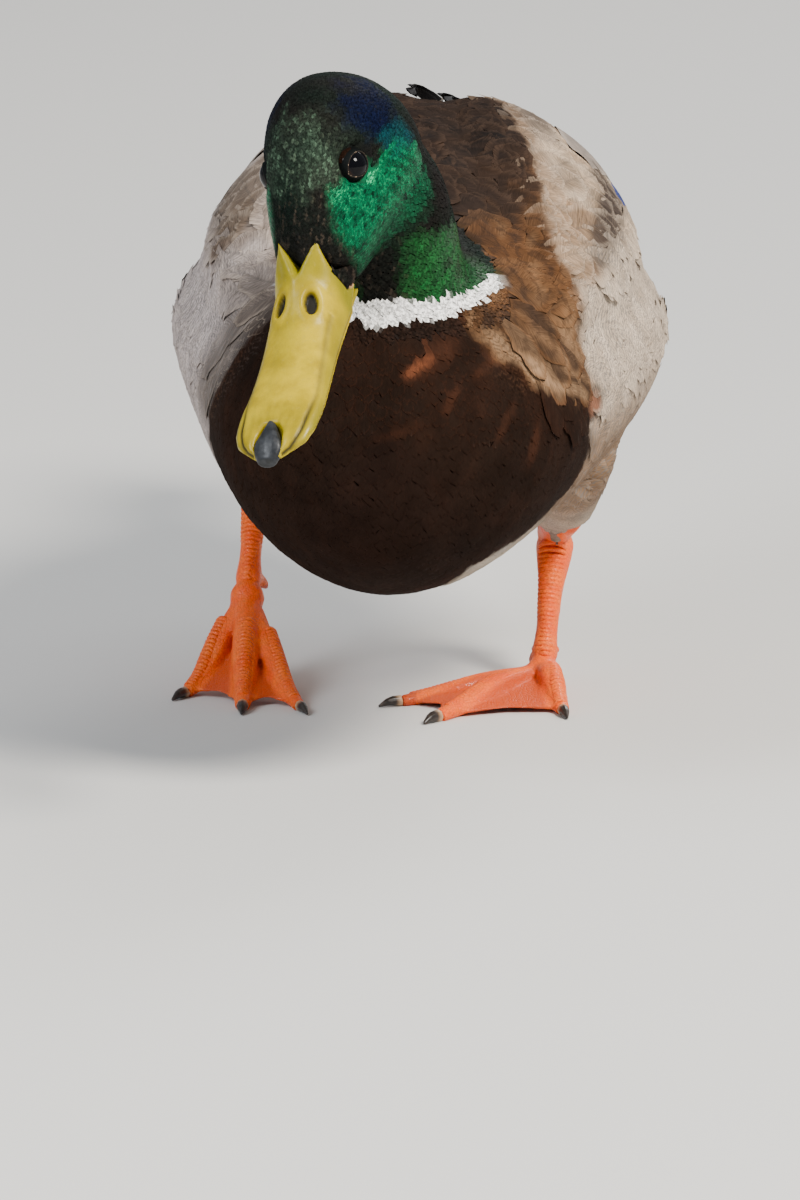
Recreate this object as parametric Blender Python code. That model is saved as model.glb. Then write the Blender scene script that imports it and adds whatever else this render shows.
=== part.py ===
"""A mallard drake, walking, at life size, as a still model in separate parts.

Metres, +Z up. The bird faces -Y, its left side is at +X, and the origin is at
the bottom centre of the whole model. Lengths below are in millimetres.
"""

import math

import bmesh
import bpy
import numpy as np
from mathutils import Matrix, Vector

MM = 0.001
GAP = 0.3  # between neighbouring parts

# Trunk, measured in the body's own frame: y from breast to vent, then the
# half width, the heights of the back, the belly and the widest line, and how
# far the back is drawn in above that line (1 is an ellipse).
TRUNK_STATIONS = (
    (-142.5, 7, 106, 82, 94, 1.0),
    (-137, 21, 120, 69, 95, 1.0),
    (-122, 38, 135, 56.5, 96, 1.05),
    (-100, 48, 146, 48.5, 97, 1.1),
    (-68, 55.5, 155, 46, 98, 1.2),
    (-30, 64, 161, 49.5, 101, 1.35),
    (10, 69.5, 163.5, 51, 104, 1.46),
    (50, 66, 160, 54, 105, 1.48),
    (85, 55, 149, 64, 105, 1.4),
    (110, 43, 138, 74, 105, 1.25),
    (132, 30, 128, 86, 106, 1.15),
    (152, 18, 120, 97, 107, 1.05),
    (167, 8, 115, 104, 108, 1.0),
)
BELLY_POWER = 1.08
BREAST_SWING = -4.0  # the breast turns to the bird's right as it steps
TRUNK_SHIFT = 2.5
TRUNK_ROLL = 2.5  # degrees: the belly swings away from the planted left foot
BODY_AT = Vector((0, -8, 1.7))

# Folded wings: y, lowest and highest angle from the midline of the back
WING_STATIONS = (
    (-84, 60, 50, 1.5),
    (-66, 63, 40, 5.0),
    (-30, 64, 24, 8.0),
    (10, 64, 13, 8.5),
    (50, 63, 10, 8.5),
    (85, 62, 10, 7.5),
    (112, 60, 12, 5.0),
)
WING_GAP = 0.9  # over the flat faces of the trunk
PRIMARY_LENGTH = 62.0
PRIMARY_WIDTH = 17.0

# Head, in its own frame: the eyes' midpoint is its origin and the bill points
# to -y. y, half width, crown, throat, widest line.
HEAD_STATIONS = (
    (-30, 5.5, -8.2, -21.5, -15),
    (-24, 8.6, -4.4, -22.5, -14),
    (-18, 10.8, 2.0, -23.5, -12),
    (-10, 13.4, 11.5, -25, -9.5),
    (0, 16.2, 18.8, -26.5, -8),
    (10, 19.0, 21.2, -27.5, -7.5),
    (20, 20.8, 20.4, -27, -7),
    (29, 19.0, 16.0, -24, -6),
    (36, 12, 8, -16, -4),
)
HEAD_AT = Vector((-15.5, -150, 170.3))
HEAD_TURN = (-14.0, 31.5, -12.5)  # yaw, pitch and roll in degrees

# Bill: y, half width, ridge height, mouth height
BILL_STATIONS = (
    (-20, 10.6, -4.2, -20.8),
    (-30, 9.9, -9.8, -22.6),
    (-42, 9.8, -13.6, -23.4),
    (-56, 10.8, -16.4, -23.2),
    (-68, 11.8, -18.2, -22.8),
    (-75, 10.9, -19.3, -22.9),
    (-79.4, 7.8, -20.3, -23.4),
    (-81.8, 3.4, -21.4, -23.8),
)
BILL_TIP = -81.8
LOWER_BILL_TIP = -79.4
NAIL_LENGTH = 9.5
GAPE_ANGLE = 112.0  # of the mouth corner on the head's sections
BILL_SIDES = 7  # facets from the ridge of the bill to the mouth
FEATHER_EDGE = ((0, -28.5), (32, -18.5), (56, -22.5), (84, -22.5), (112, -14.5))

EYE_RADIUS = 5.0
EYE_AT = Vector((10.7, 0.3, 0.6))

# Neck: the axis of the hidden and shown lengths, and its half widths
NECK_PATH = ((2, -76, 112), (1, -103, 127), (0, -111, 143), (-3, -120, 160), (-8, -129, 171))
NECK_WIDTHS = (28, 24, 21.5, 21, 19.5)
NECK_DEPTHS = (36, 29, 24.5, 23, 20)

TAIL_ROOT = 118.0
TAIL_TIP = 207.0
TAIL_HALF_WIDTHS = ((118, 13), (140, 20), (165, 30), (188, 34), (200, 26), (207, 9))
TAIL_HEIGHT = 121.0
TAIL_RISE = 7.0
CURL_RADIUS = 7.5
CURL_WIDTH = 8.0

# Legs, in the same frame as the floor: planted left foot, lifted right heel
LEG_JOINTS = {
    "left": {"knee": (45, -26, 80), "ankle": (38.5, 36, 36), "root": (36.5, 9, 4.7)},
    "right": {"knee": (-42, 2, 88), "ankle": (-46, 50, 54), "root": (-47, 22, 22.5)},
}
TOES = {
    "left": {
        "inner": ((-1.5, -12.5), 3.0, 4.6),
        "middle": ((10, -31), 3.5, 5.4),
        "outer": ((43.5, -21), 3.3, 7.4),
    },
    "right": {
        "inner": ((-29.5, -20.5), 3.0, 13.5),
        "middle": ((-45.2, -21), 3.6, 15.5),
        "outer": ((-62, -5), 3.2, 14.5),
    },
}
TOE_TIP_HEIGHT = 1.3
CLAW_LENGTH = 7.0
WEB_THICKNESS = 1.3
HUB_RADIUS = 5.0
HOCK_LENGTH = 4.0
THIGH_RADII = (15.0, 12.5, 9.5, 6.4)


def clear_scene():
    for obj in list(bpy.data.objects):
        bpy.data.objects.remove(obj, do_unlink=True)


def make_collection(name):
    made = bpy.data.collections.new(name)
    bpy.context.scene.collection.children.link(made)
    return made


def make_material(name, colour, roughness=0.6, metallic=0.0):
    made = bpy.data.materials.new(name)
    made.use_nodes = True
    shader = made.node_tree.nodes["Principled BSDF"]
    shader.inputs["Base Color"].default_value = (*colour, 1)
    shader.inputs["Roughness"].default_value = roughness
    shader.inputs["Metallic"].default_value = metallic
    return made


def read_stations(rows, at):
    """The columns of a table of stations at one place, on a smooth curve through them."""
    table = np.array(rows, float)
    places, values = table[:, 0], table[:, 1:]
    slopes = np.gradient(values, places, axis=0)
    at = min(max(at, places.min()), places.max())
    order = np.argsort(places)
    places, values, slopes = places[order], values[order], slopes[order]
    i = min(int(np.searchsorted(places, at, side="right")) - 1, len(places) - 2)
    span = places[i + 1] - places[i]
    t = (at - places[i]) / span
    return (
        values[i] * (2 * t**3 - 3 * t**2 + 1)
        + slopes[i] * span * (t**3 - 2 * t**2 + t)
        + values[i + 1] * (3 * t**2 - 2 * t**3)
        + slopes[i + 1] * span * (t**3 - t**2)
    )


def path_point(points, t):
    """A place on a smooth curve through the points, t from 0 to 1."""
    rows = [(i / (len(points) - 1), *p) for i, p in enumerate(points)]
    return Vector(read_stations(rows, t))


def power(value, exponent):
    return math.copysign(abs(value) ** exponent, value)


def oval(angle, half_width, top, bottom, middle, top_power=1.0, bottom_power=1.0):
    """A point of a section whose angle runs from the top towards +X."""
    x = math.sin(angle)
    z = math.cos(angle)
    bend = top_power if z > 0 else bottom_power
    reach = top - middle if z > 0 else middle - bottom
    return half_width * power(x, bend), middle + reach * power(z, bend)


def add_mesh(name, points, faces, material, collection):
    mesh = bpy.data.meshes.new(name)
    mesh.from_pydata([tuple(Vector(p) * MM) for p in points], [], faces)
    mesh.materials.append(material)
    made = bpy.data.objects.new(name, mesh)
    collection.objects.link(made)
    work = bmesh.new()
    work.from_mesh(mesh)
    bmesh.ops.remove_doubles(work, verts=work.verts, dist=0.00001)
    bmesh.ops.recalc_face_normals(work, faces=work.faces)
    if work.calc_volume(signed=True) < 0:
        bmesh.ops.reverse_faces(work, faces=work.faces)
    work.to_mesh(mesh)
    work.free()
    mesh.shade_smooth()
    mesh.set_sharp_from_angle(angle=math.radians(50))
    return made


def loft(name, rings, material, collection):
    """A closed body through rings of equal count, with a fan over each end."""
    count = len(rings[0])
    points = [p for ring in rings for p in ring]
    faces = []
    for i in range(len(rings) - 1):
        for j in range(count):
            k = (j + 1) % count
            faces.append((i * count + j, i * count + k, (i + 1) * count + k, (i + 1) * count + j))
    for start in (0, (len(rings) - 1) * count):
        ring = points[start : start + count]
        centre = sum((Vector(p) for p in ring), Vector()) / count
        points.append(centre)
        hub = len(points) - 1
        for j in range(count):
            faces.append((start + j, start + (j + 1) % count, hub))
    return add_mesh(name, points, faces, material, collection)


def make_ball(name, centre, radius, material, collection, pole=Vector((0, 0, 1))):
    ball = bmesh.new()
    bmesh.ops.create_uvsphere(ball, u_segments=12, v_segments=8, radius=radius * MM)
    turn = pole.to_track_quat("Z", "Y").to_matrix().to_4x4()
    bmesh.ops.transform(ball, matrix=Matrix.Translation(centre * MM) @ turn, verts=ball.verts)
    mesh = bpy.data.meshes.new(name)
    ball.to_mesh(mesh)
    ball.free()
    mesh.materials.append(material)
    mesh.shade_smooth()
    made = bpy.data.objects.new(name, mesh)
    collection.objects.link(made)
    return made


def tube_rings(path, widths, depths, steps, sides, side_axis=Vector((1, 0, 0))):
    """Rings of a tapering tube along a smooth path."""
    rings = []
    for i in range(steps + 1):
        t = i / steps
        centre = path_point(path, t)
        ahead = path_point(path, min(t + 0.02, 1)) - path_point(path, max(t - 0.02, 0))
        ahead.normalize()
        across = (side_axis - ahead * side_axis.dot(ahead)).normalized()
        upward = ahead.cross(across)
        width = read_stations([(k / (len(widths) - 1), w) for k, w in enumerate(widths)], t)[0]
        depth = read_stations([(k / (len(depths) - 1), d) for k, d in enumerate(depths)], t)[0]
        rings.append(
            [
                centre + across * width * math.cos(a) + upward * depth * math.sin(a)
                for a in (2 * math.pi * j / sides for j in range(sides))
            ]
        )
    return rings


def cut(obj, cutter, grow=GAP, solver="EXACT"):
    """Takes the cutter, grown by the gap, out of the object."""
    copy = cutter.copy()
    copy.data = cutter.data.copy()
    copy.name = f"cutter_{cutter.name}"
    bpy.data.collections["cutters"].objects.link(copy)
    copy.hide_render = True
    copy.display_type = "WIRE"
    normals = [v.normal.copy() for v in copy.data.vertices]
    for vertex, normal in zip(copy.data.vertices, normals):
        vertex.co += normal * grow * MM
    combine(obj, copy, "DIFFERENCE", solver)


def combine(obj, other, operation, solver="EXACT"):
    """Applies a Boolean and removes the other object."""
    modifier = obj.modifiers.new(operation.lower(), "BOOLEAN")
    modifier.operation = operation
    modifier.object = other
    modifier.solver = solver
    bpy.context.view_layer.update()
    graph = bpy.context.evaluated_depsgraph_get()
    mesh = bpy.data.meshes.new_from_object(obj.evaluated_get(graph))
    obj.modifiers.clear()
    old = obj.data
    obj.data = mesh
    mesh.name = old.name
    bpy.data.meshes.remove(old)
    bpy.data.objects.remove(other, do_unlink=True)
    return obj


# --- trunk, wings and tail -------------------------------------------------


def body_place(point):
    """From the body's own frame to the model's."""
    turn = Matrix.Rotation(math.radians(TRUNK_ROLL), 3, "Y")
    pivot = Vector((0, point.y, 105))
    return turn @ (point - pivot) + pivot + BODY_AT


def spine_shift(y):
    """How far the body's midline stands to the bird's left at y."""
    t = min(max((y + 142) / 110, 0), 1)
    return TRUNK_SHIFT + BREAST_SWING * (1 - t) ** 2


def trunk_point(y, angle, lift=0.0):
    half_width, top, bottom, middle, back_power = read_stations(TRUNK_STATIONS, y)
    x, z = oval(angle, half_width, top, bottom, middle, back_power, BELLY_POWER)
    outward = Vector((x / half_width, 0, (z - middle) / (top - middle))).normalized()
    return body_place(Vector((x + spine_shift(y), y, z)) + outward * lift)


def section_places(stations, count):
    """Places along a table of stations, closer together at its ends."""
    first, last = stations[0][0], stations[-1][0]
    return [
        first + (last - first) * (1 - math.cos(math.pi * i / (count - 1))) / 2
        for i in range(count)
    ]


def make_trunk(material, collection):
    sides = 28
    rings = [
        [trunk_point(y, 2 * math.pi * j / sides) for j in range(sides)]
        for y in section_places(TRUNK_STATIONS, 20)
    ]
    return loft("trunk", rings, material, collection)


def make_wing(side, sign, material, collection):
    """A folded wing: a crescent that lies on the trunk, thin at both edges."""
    across = 8
    rings = []
    for y in section_places(WING_STATIONS, 13):
        low, high, thick = read_stations(WING_STATIONS, y)
        angles = [math.radians(low + (high - low) * j / across) for j in range(across + 1)]
        crown = [0.8 + (thick - 0.8) * math.sin(math.pi * j / across) ** 0.7 for j in range(across + 1)]
        inner = [trunk_point(y, sign * a, WING_GAP) for a in angles]
        outer = [trunk_point(y, sign * a, WING_GAP + c) for a, c in zip(angles, crown)]
        rings.append(inner + outer[::-1])
    return loft(f"wing_{side}", rings, material, collection)


def make_primaries(side, sign, material, collection):
    """The stacked tips of the flight feathers behind the folded wing."""
    start = WING_STATIONS[-1][0] + GAP
    low, high = WING_STATIONS[-1][1:3]
    root = trunk_point(start, sign * math.radians((low + high) / 2 - 6), 3.4)
    inward = Vector((-sign * 0.2, 1, -0.04)).normalized()
    flat = Vector((sign, 0.2, -0.55)).normalized()
    rise = flat.cross(inward) * sign
    if rise.z < 0:
        rise.negate()
    steps = 8
    rings = []
    for i in range(steps + 1):
        t = i / steps
        half = PRIMARY_WIDTH / 2 * (1 - t**2.2) + 0.9
        thick = 2.2 - 1.4 * t
        centre = root + inward * PRIMARY_LENGTH * t + rise * 5.0 * t
        rings.append(
            [
                centre + flat * half * math.cos(a) + rise * thick * math.sin(a)
                for a in (math.pi * j / 4 for j in range(8))
            ]
        )
    return loft(f"primaries_{side}", rings, material, collection)


def tail_surface(y, share, lift=0.0):
    """A place on the arched fan of the tail; share runs from -1 to 1 across."""
    half = read_stations(TAIL_HALF_WIDTHS, y)[0]
    reach = (y - TAIL_ROOT) / (TAIL_TIP - TAIL_ROOT)
    arch = -5.0 * share * share * (0.3 + 0.7 * reach)
    return body_place(
        Vector((spine_shift(y) + share * half, y, TAIL_HEIGHT + TAIL_RISE * reach**1.6 + arch + lift))
    )


def make_tail(material, collection):
    across = 8
    steps = 10
    rings = []
    for i in range(steps + 1):
        y = TAIL_ROOT + (TAIL_TIP - TAIL_ROOT) * i / steps
        thick = 5.0 - 4.2 * i / steps
        shares = [-1 + 2 * j / across for j in range(across + 1)]
        edge = [0.35 + 0.65 * math.sqrt(max(1 - s * s, 0)) for s in shares]
        upper = [tail_surface(y, s, thick / 2 * e) for s, e in zip(shares, edge)]
        lower = [tail_surface(y, s, -thick / 2 * e) for s, e in zip(shares, edge)]
        rings.append(upper + lower[::-1])
    return loft("tail", rings, material, collection)


def make_curl(side, sign, material, collection):
    """One of the drake's curled feathers above the tail."""
    rings = []
    steps = 14
    root = tail_surface(142, 0.0, 3.4) + Vector((sign * 3.6, 0, 0))
    for i in range(steps + 1):
        t = i / steps
        turn = math.radians(-20 + 235 * t)
        radius = CURL_RADIUS * (1.25 - 0.45 * t)
        hub = root + Vector((sign * 0.6 * t, CURL_RADIUS * 1.1, CURL_RADIUS * 1.15))
        outward = Vector((0, math.sin(turn), -math.cos(turn)))
        centre = hub + outward * radius
        half = CURL_WIDTH / 2 * (0.55 + 0.6 * math.sin(math.pi * min(t * 1.25, 1))) * (1 - t**6) + 0.4
        half = min(half, 3.1)
        thick = 0.6
        across = Vector((1, 0, 0))
        rings.append(
            [
                centre + across * half - outward * thick,
                centre + outward * (thick * 0.6),
                centre - across * half - outward * thick,
                centre - outward * (thick * 2.0),
            ]
        )
    return loft(f"curl_{side}", rings, material, collection)


# --- head, neck and bill ---------------------------------------------------


def head_matrix():
    yaw, pitch, roll = (math.radians(a) for a in HEAD_TURN)
    turn = (
        Matrix.Rotation(yaw, 3, "Z")
        @ Matrix.Rotation(pitch, 3, "X")
        @ Matrix.Rotation(roll, 3, "Y")
    )
    return turn


def head_place(point):
    return head_matrix() @ Vector(point) + HEAD_AT


def head_section(y, angle, lift=0.0):
    half_width, top, bottom, middle = read_stations(HEAD_STATIONS, y)
    return oval(angle, half_width + lift, top + lift, bottom - lift, middle, 1.02, 0.95)


def feather_edge(angle):
    """Where the feathers stop at the bill, as y, for an angle from the crown."""
    degrees = abs(math.degrees(math.atan2(math.sin(angle), math.cos(angle))))
    if degrees > GAPE_ANGLE:
        share = (degrees - GAPE_ANGLE) / (180 - GAPE_ANGLE)
        return FEATHER_EDGE[-1][1] - 3.5 * math.sin(share * math.pi / 2)
    return float(np.interp(degrees, *zip(*FEATHER_EDGE)))


def head_angles():
    """The angles of a ring of the head, close together over the bill's base."""
    upper = [GAPE_ANGLE * j / BILL_SIDES for j in range(BILL_SIDES + 1)]
    lower = [GAPE_ANGLE + (180 - GAPE_ANGLE) * j / 3 for j in range(1, 4)]
    half = upper + lower
    return [math.radians(a) for a in half + [-a for a in half[-2:0:-1]]]


def make_head(material, collection):
    last = HEAD_STATIONS[-1][0]
    rings = []
    steps = 13
    for i in range(steps + 1):
        t = i / steps
        ring = []
        for angle in head_angles():
            edge = feather_edge(angle) + GAP
            y = edge + (last - edge) * (0.25 * t + 0.75 * math.sin(t * math.pi / 2) ** 1.3)
            x, z = head_section(y, angle)
            ring.append(head_place((x, y, z)))
        rings.append(ring)
    return loft("head", rings, material, collection)


def bill_shape(y):
    return read_stations(BILL_STATIONS, y)


def bill_point(share, reach):
    """Upper bill: share from -1 to 1 across, reach from the feathers to the tip."""
    angle = math.radians(GAPE_ANGLE) * share
    edge = feather_edge(angle)
    y = edge + (BILL_TIP - edge) * reach
    half_width, ridge, mouth = bill_shape(y)
    turn = share * math.pi / 2
    flatness = 0.55 + 0.45 * min(max((-28 - y) / 40, 0), 1)
    x = half_width * power(math.sin(turn), 0.75 + 0.25 * flatness)
    z = mouth + (ridge - mouth) * math.cos(turn) ** (1.1 - 0.35 * flatness)
    base_x, base_z = head_section(y, angle, -0.5)
    blend = min(reach / 0.16, 1)
    blend = blend * blend * (3 - 2 * blend)
    return Vector((base_x + (x - base_x) * blend, y, base_z + (z - base_z) * blend))


def make_upper_bill(material, collection):
    across = 2 * BILL_SIDES
    steps = 13
    rings = []
    for i in range(steps + 1):
        reach = (i / steps) ** 0.9
        ring = [bill_point(-1 + 2 * j / across, reach) for j in range(across + 1)]
        under = [p.copy() for p in ring[1:-1]]
        left, right = ring[0], ring[-1]
        for j, p in enumerate(under):
            share = (j + 1) / across
            level = left.lerp(right, share)
            p.x, p.z = p.x * 0.96, level.z
            p.y = level.y + (p.y - level.y) * (1 - min(reach * 5, 1))
        rings.append([head_place(p) for p in ring + under[::-1]])
    return loft("bill_upper", rings, material, collection)


def make_lower_bill(material, collection):
    rings = []
    sides = 8
    steps = 10
    for i in range(steps + 1):
        t = i / steps
        start = FEATHER_EDGE[-1][1] - 2.6
        y = start + (LOWER_BILL_TIP - start) * t**0.9
        half_width, _, mouth = bill_shape(y)
        taper = math.sqrt(max(1 - ((y + 50) / 33) ** 2, 0.02)) if y < -50 else 1
        half = max(half_width - 1.2, 0.8) * min(taper * 1.1, 1)
        depth = 3.4 - 1.8 * t
        ring = []
        for j in range(sides + 1):
            turn = -math.pi / 2 + math.pi * j / sides
            ring.append((half * math.sin(turn), y, mouth - GAP - 0.2 - depth * math.cos(turn)))
        rings.append([head_place(p) for p in ring])
    return loft("bill_lower", rings, material, collection)


def make_nail(material, collection):
    """The hard hook set into the tip of the upper bill."""
    steps = 6
    rings = []
    for i in range(steps + 1):
        t = i / steps
        y = BILL_TIP + NAIL_LENGTH * (1 - t) - 0.8 * t
        inner = min(max(y, BILL_TIP), 0)
        _, ridge, mouth = bill_shape(inner)
        half = 4.3 * math.sqrt(max(1 - (0.62 - t) ** 2 / 0.55, 0.05)) * (1 - 0.35 * t**4)
        high = ridge + 0.75 - 1.2 * t**4
        low = mouth + 0.6 - 1.7 * t
        rings.append(
            [
                head_place((half * math.sin(a), y, (high + low) / 2 + (high - low) / 2 * math.cos(a)))
                for a in (2 * math.pi * j / 12 for j in range(12))
            ]
        )
    return loft("bill_nail", rings, material, collection)


def make_eye(side, sign, material, collection):
    centre = head_place((EYE_AT.x * sign, EYE_AT.y, EYE_AT.z))
    outward = head_matrix() @ Vector((sign, 0, 0))
    return make_ball(f"eye_{side}", centre, EYE_RADIUS, material, collection, outward)


def make_neck(material, collection):
    path = [Vector(p) + BODY_AT * (1 - i / 4) for i, p in enumerate(NECK_PATH)]
    rings = tube_rings(path, NECK_WIDTHS, NECK_DEPTHS, 8, 16)
    return loft("neck", rings, material, collection)


# --- legs and feet ---------------------------------------------------------


def make_thigh(side, material, collection):
    joints = {k: Vector(v) for k, v in LEG_JOINTS[side].items()}
    path = [joints["knee"].lerp(joints["ankle"], t) for t in (0.0, 0.35, 0.65, 0.9)]
    rings = tube_rings(path, THIGH_RADII, [r * 1.25 for r in THIGH_RADII], 6, 12)
    return loft(f"thigh_{side}", rings, material, collection)


def make_shank(side, material, collection):
    joints = {k: Vector(v) for k, v in LEG_JOINTS[side].items()}
    ankle, root = joints["ankle"], joints["root"]
    upwards = (ankle - root).normalized()
    hock = ankle + upwards * HOCK_LENGTH
    foot_end = root + upwards * (HUB_RADIUS + GAP)
    path = [hock, ankle, ankle.lerp(root, 0.35), ankle.lerp(root, 0.7), foot_end]
    radii = [2.6, 4.8, 2.9, 2.7, 3.7]
    rings = tube_rings(path, radii, [r * 1.25 for r in radii], 12, 10)
    return loft(f"shank_{side}", rings, material, collection)


def toe_path(side, toe):
    """The toe's axis from the foot's root to the base of its claw."""
    (x, y), radius, arch = TOES[side][toe]
    root = Vector(LEG_JOINTS[side]["root"])
    tip = Vector((x, y, TOE_TIP_HEIGHT))
    first = root.lerp(tip, 0.36)
    first.z = arch
    second = root.lerp(tip, 0.7)
    second.z = radius * 0.72 + (arch - radius) * 0.22
    return [root, first, second, tip]


def toe_rings(side, toe):
    radius = TOES[side][toe][1]
    widths = (radius * 1.15, radius * 0.95, radius * 1.05, radius * 0.8, radius * 0.62)
    depths = [w * 0.85 for w in widths]
    path = toe_path(side, toe)
    ahead = path[-1] - path[0]
    sideways = Vector((-ahead.y, ahead.x, 0)).normalized()
    return tube_rings(path, widths, depths, 8, 8, sideways)


def make_web(side, first, second, material, collection):
    """The web between two toes, with a hollowed front edge."""
    paths = [toe_path(side, toe) for toe in (first, second)]
    across, along = 3, 3
    upper, lower = [], []
    for i in range(along + 1):
        reach = 0.1 + 0.83 * i / along
        row = []
        for j in range(across + 1):
            share = j / across
            sag = 0.22 * math.sin(math.pi * share) * reach
            p, q = (path_point(path, reach - sag) for path in paths)
            point = p.lerp(q, share)
            point.z -= 0.35 * (point.z - 1.0) * math.sin(math.pi * share)
            point.z = max(point.z - 0.1, WEB_THICKNESS / 2 + 0.5)
            row.append(point)
        upper.append([p + Vector((0, 0, WEB_THICKNESS / 2)) for p in row])
        lower.append([p - Vector((0, 0, WEB_THICKNESS / 2)) for p in row])
    rings = [a + b[::-1] for a, b in zip(upper, lower)]
    return loft(f"web_{first}", rings, material, collection)


def make_foot(side, material, collection):
    """Three toes and their webs in one body, flat where it meets the floor."""
    toes = [loft(f"toe_{toe}", toe_rings(side, toe), material, collection) for toe in TOES[side]]
    names = list(TOES[side])
    webs = [make_web(side, a, b, material, collection) for a, b in zip(names, names[1:])]
    foot = toes[0]
    hub = make_ball(f"hub_{side}", Vector(LEG_JOINTS[side]["root"]), HUB_RADIUS, material, collection)
    # the exact solver loses pieces of a foot, here and where a claw is cut against it
    for other in [hub] + webs[:1] + toes[1:2] + webs[1:] + toes[2:]:
        combine(foot, other, "UNION", "MANIFOLD")
    foot.name = f"foot_{side}"
    flatten(foot)
    return foot


def flatten(obj):
    """Cuts away what is below the floor."""
    slab = bmesh.new()
    bmesh.ops.create_cube(slab, size=0.4)
    bmesh.ops.translate(slab, vec=(0, 0, -0.2), verts=slab.verts)
    mesh = bpy.data.meshes.new("floor_cut")
    slab.to_mesh(mesh)
    slab.free()
    cutter = bpy.data.objects.new("floor_cut", mesh)
    bpy.data.collections["cutters"].objects.link(cutter)
    combine(obj, cutter, "DIFFERENCE", "MANIFOLD")


def make_claw(side, toe, material, collection):
    path = toe_path(side, toe)
    ahead = path[-1] - path[-2]
    ahead.z = 0
    ahead.normalize()
    radius = TOES[side][toe][1] * 0.5
    base = path[-1] + ahead * 0.2
    base.z = TOE_TIP_HEIGHT + 0.2
    mid = base + ahead * CLAW_LENGTH * 0.5 + Vector((0, 0, 0.1))
    tip = base + ahead * CLAW_LENGTH
    tip.z = 0.5
    widths = (radius, radius * 0.8, 0.35)
    sideways = Vector((-ahead.y, ahead.x, 0))
    rings = tube_rings([base, mid, tip], widths, [w * 1.1 for w in widths], 5, 8, sideways)
    claw = loft(f"claw_{side}_{toe}", rings, material, collection)
    flatten(claw)
    return claw


def make_hind_toe(side, material, collection):
    """The small raised toe at the back of the shank."""
    root = Vector(LEG_JOINTS[side]["root"])
    ankle = Vector(LEG_JOINTS[side]["ankle"])
    inward = Vector((-1 if side == "left" else 1, 0, 0))
    start = root.lerp(ankle, 0.16) + inward * 1.5 + Vector((0, 2.0, 0))
    end = start + inward * 3.0 + Vector((0, 9.0, -5.0))
    rings = tube_rings([start, start.lerp(end, 0.6), end], (1.7, 1.6, 0.7), (1.7, 1.9, 0.8), 5, 8)
    return loft(f"hind_toe_{side}", rings, material, collection)


# --- the whole bird --------------------------------------------------------


def stand_at_origin(objects):
    """Moves every mesh so that the origin is at the bottom centre of the whole."""
    corners = np.array([v.co for o in objects for v in o.data.vertices])
    low, high = corners.min(axis=0), corners.max(axis=0)
    shift = Vector((-(low[0] + high[0]) / 2, -(low[1] + high[1]) / 2, -low[2]))
    for obj in objects:
        obj.data.transform(Matrix.Translation(shift))
        obj.data.update()


def main():
    clear_scene()
    bird = make_collection("mallard_drake")
    make_collection("cutters")
    breast = make_material("breast_plumage", (0.10, 0.035, 0.022), 0.55)
    grey = make_material("wing_plumage", (0.42, 0.36, 0.31), 0.65)
    dark = make_material("dark_plumage", (0.02, 0.02, 0.022), 0.5)
    green = make_material("head_plumage", (0.01, 0.16, 0.09), 0.35)
    horn = make_material("bill_horn", (0.72, 0.62, 0.12), 0.35)
    nail = make_material("nail_horn", (0.03, 0.035, 0.04), 0.4)
    claw = make_material("claw_horn", (0.05, 0.035, 0.03), 0.45)
    eye = make_material("eye", (0.03, 0.015, 0.01), 0.05)
    skin = make_material("leg_skin", (0.85, 0.22, 0.05), 0.45)

    trunk = make_trunk(breast, bird)
    head = make_head(green, bird)
    neck = make_neck(green, bird)
    cut(neck, trunk)
    cut(neck, head)
    upper = make_upper_bill(horn, bird)
    lower = make_lower_bill(horn, bird)
    cut(head, lower)
    tip = make_nail(nail, bird)
    cut(upper, tip)
    cut(tip, lower)
    tail = make_tail(dark, bird)
    cut(tail, trunk)
    for side, sign in (("left", 1), ("right", -1)):
        ball = make_eye(side, sign, eye, bird)
        cut(head, ball)
        wing = make_wing(side, sign, grey, bird)
        primaries = make_primaries(side, sign, dark, bird)
        cut(primaries, trunk)
        cut(primaries, wing)
        cut(primaries, tail)
        curl = make_curl(side, sign, dark, bird)
        cut(curl, tail)
        foot = make_foot(side, skin, bird)
        shank = make_shank(side, skin, bird)
        thigh = make_thigh(side, breast, bird)
        cut(thigh, trunk)
        cut(thigh, shank)
        hind = make_hind_toe(side, skin, bird)
        cut(hind, shank)
        for toe in TOES[side]:
            cut(make_claw(side, toe, claw, bird), foot, solver="MANIFOLD")
    stand_at_origin(list(bird.objects))


main()
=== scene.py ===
"""Looks of the mallard drake: one skin, a coat of feathers laid over it, bill, eyes, claws.

Metres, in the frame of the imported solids: the bird faces -Y, its left is +X.
"""

import math

import bmesh
import bpy
import numpy as np
from mathutils import Matrix, Vector
from mathutils.bvhtree import BVHTree
from mathutils.kdtree import KDTree


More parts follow.
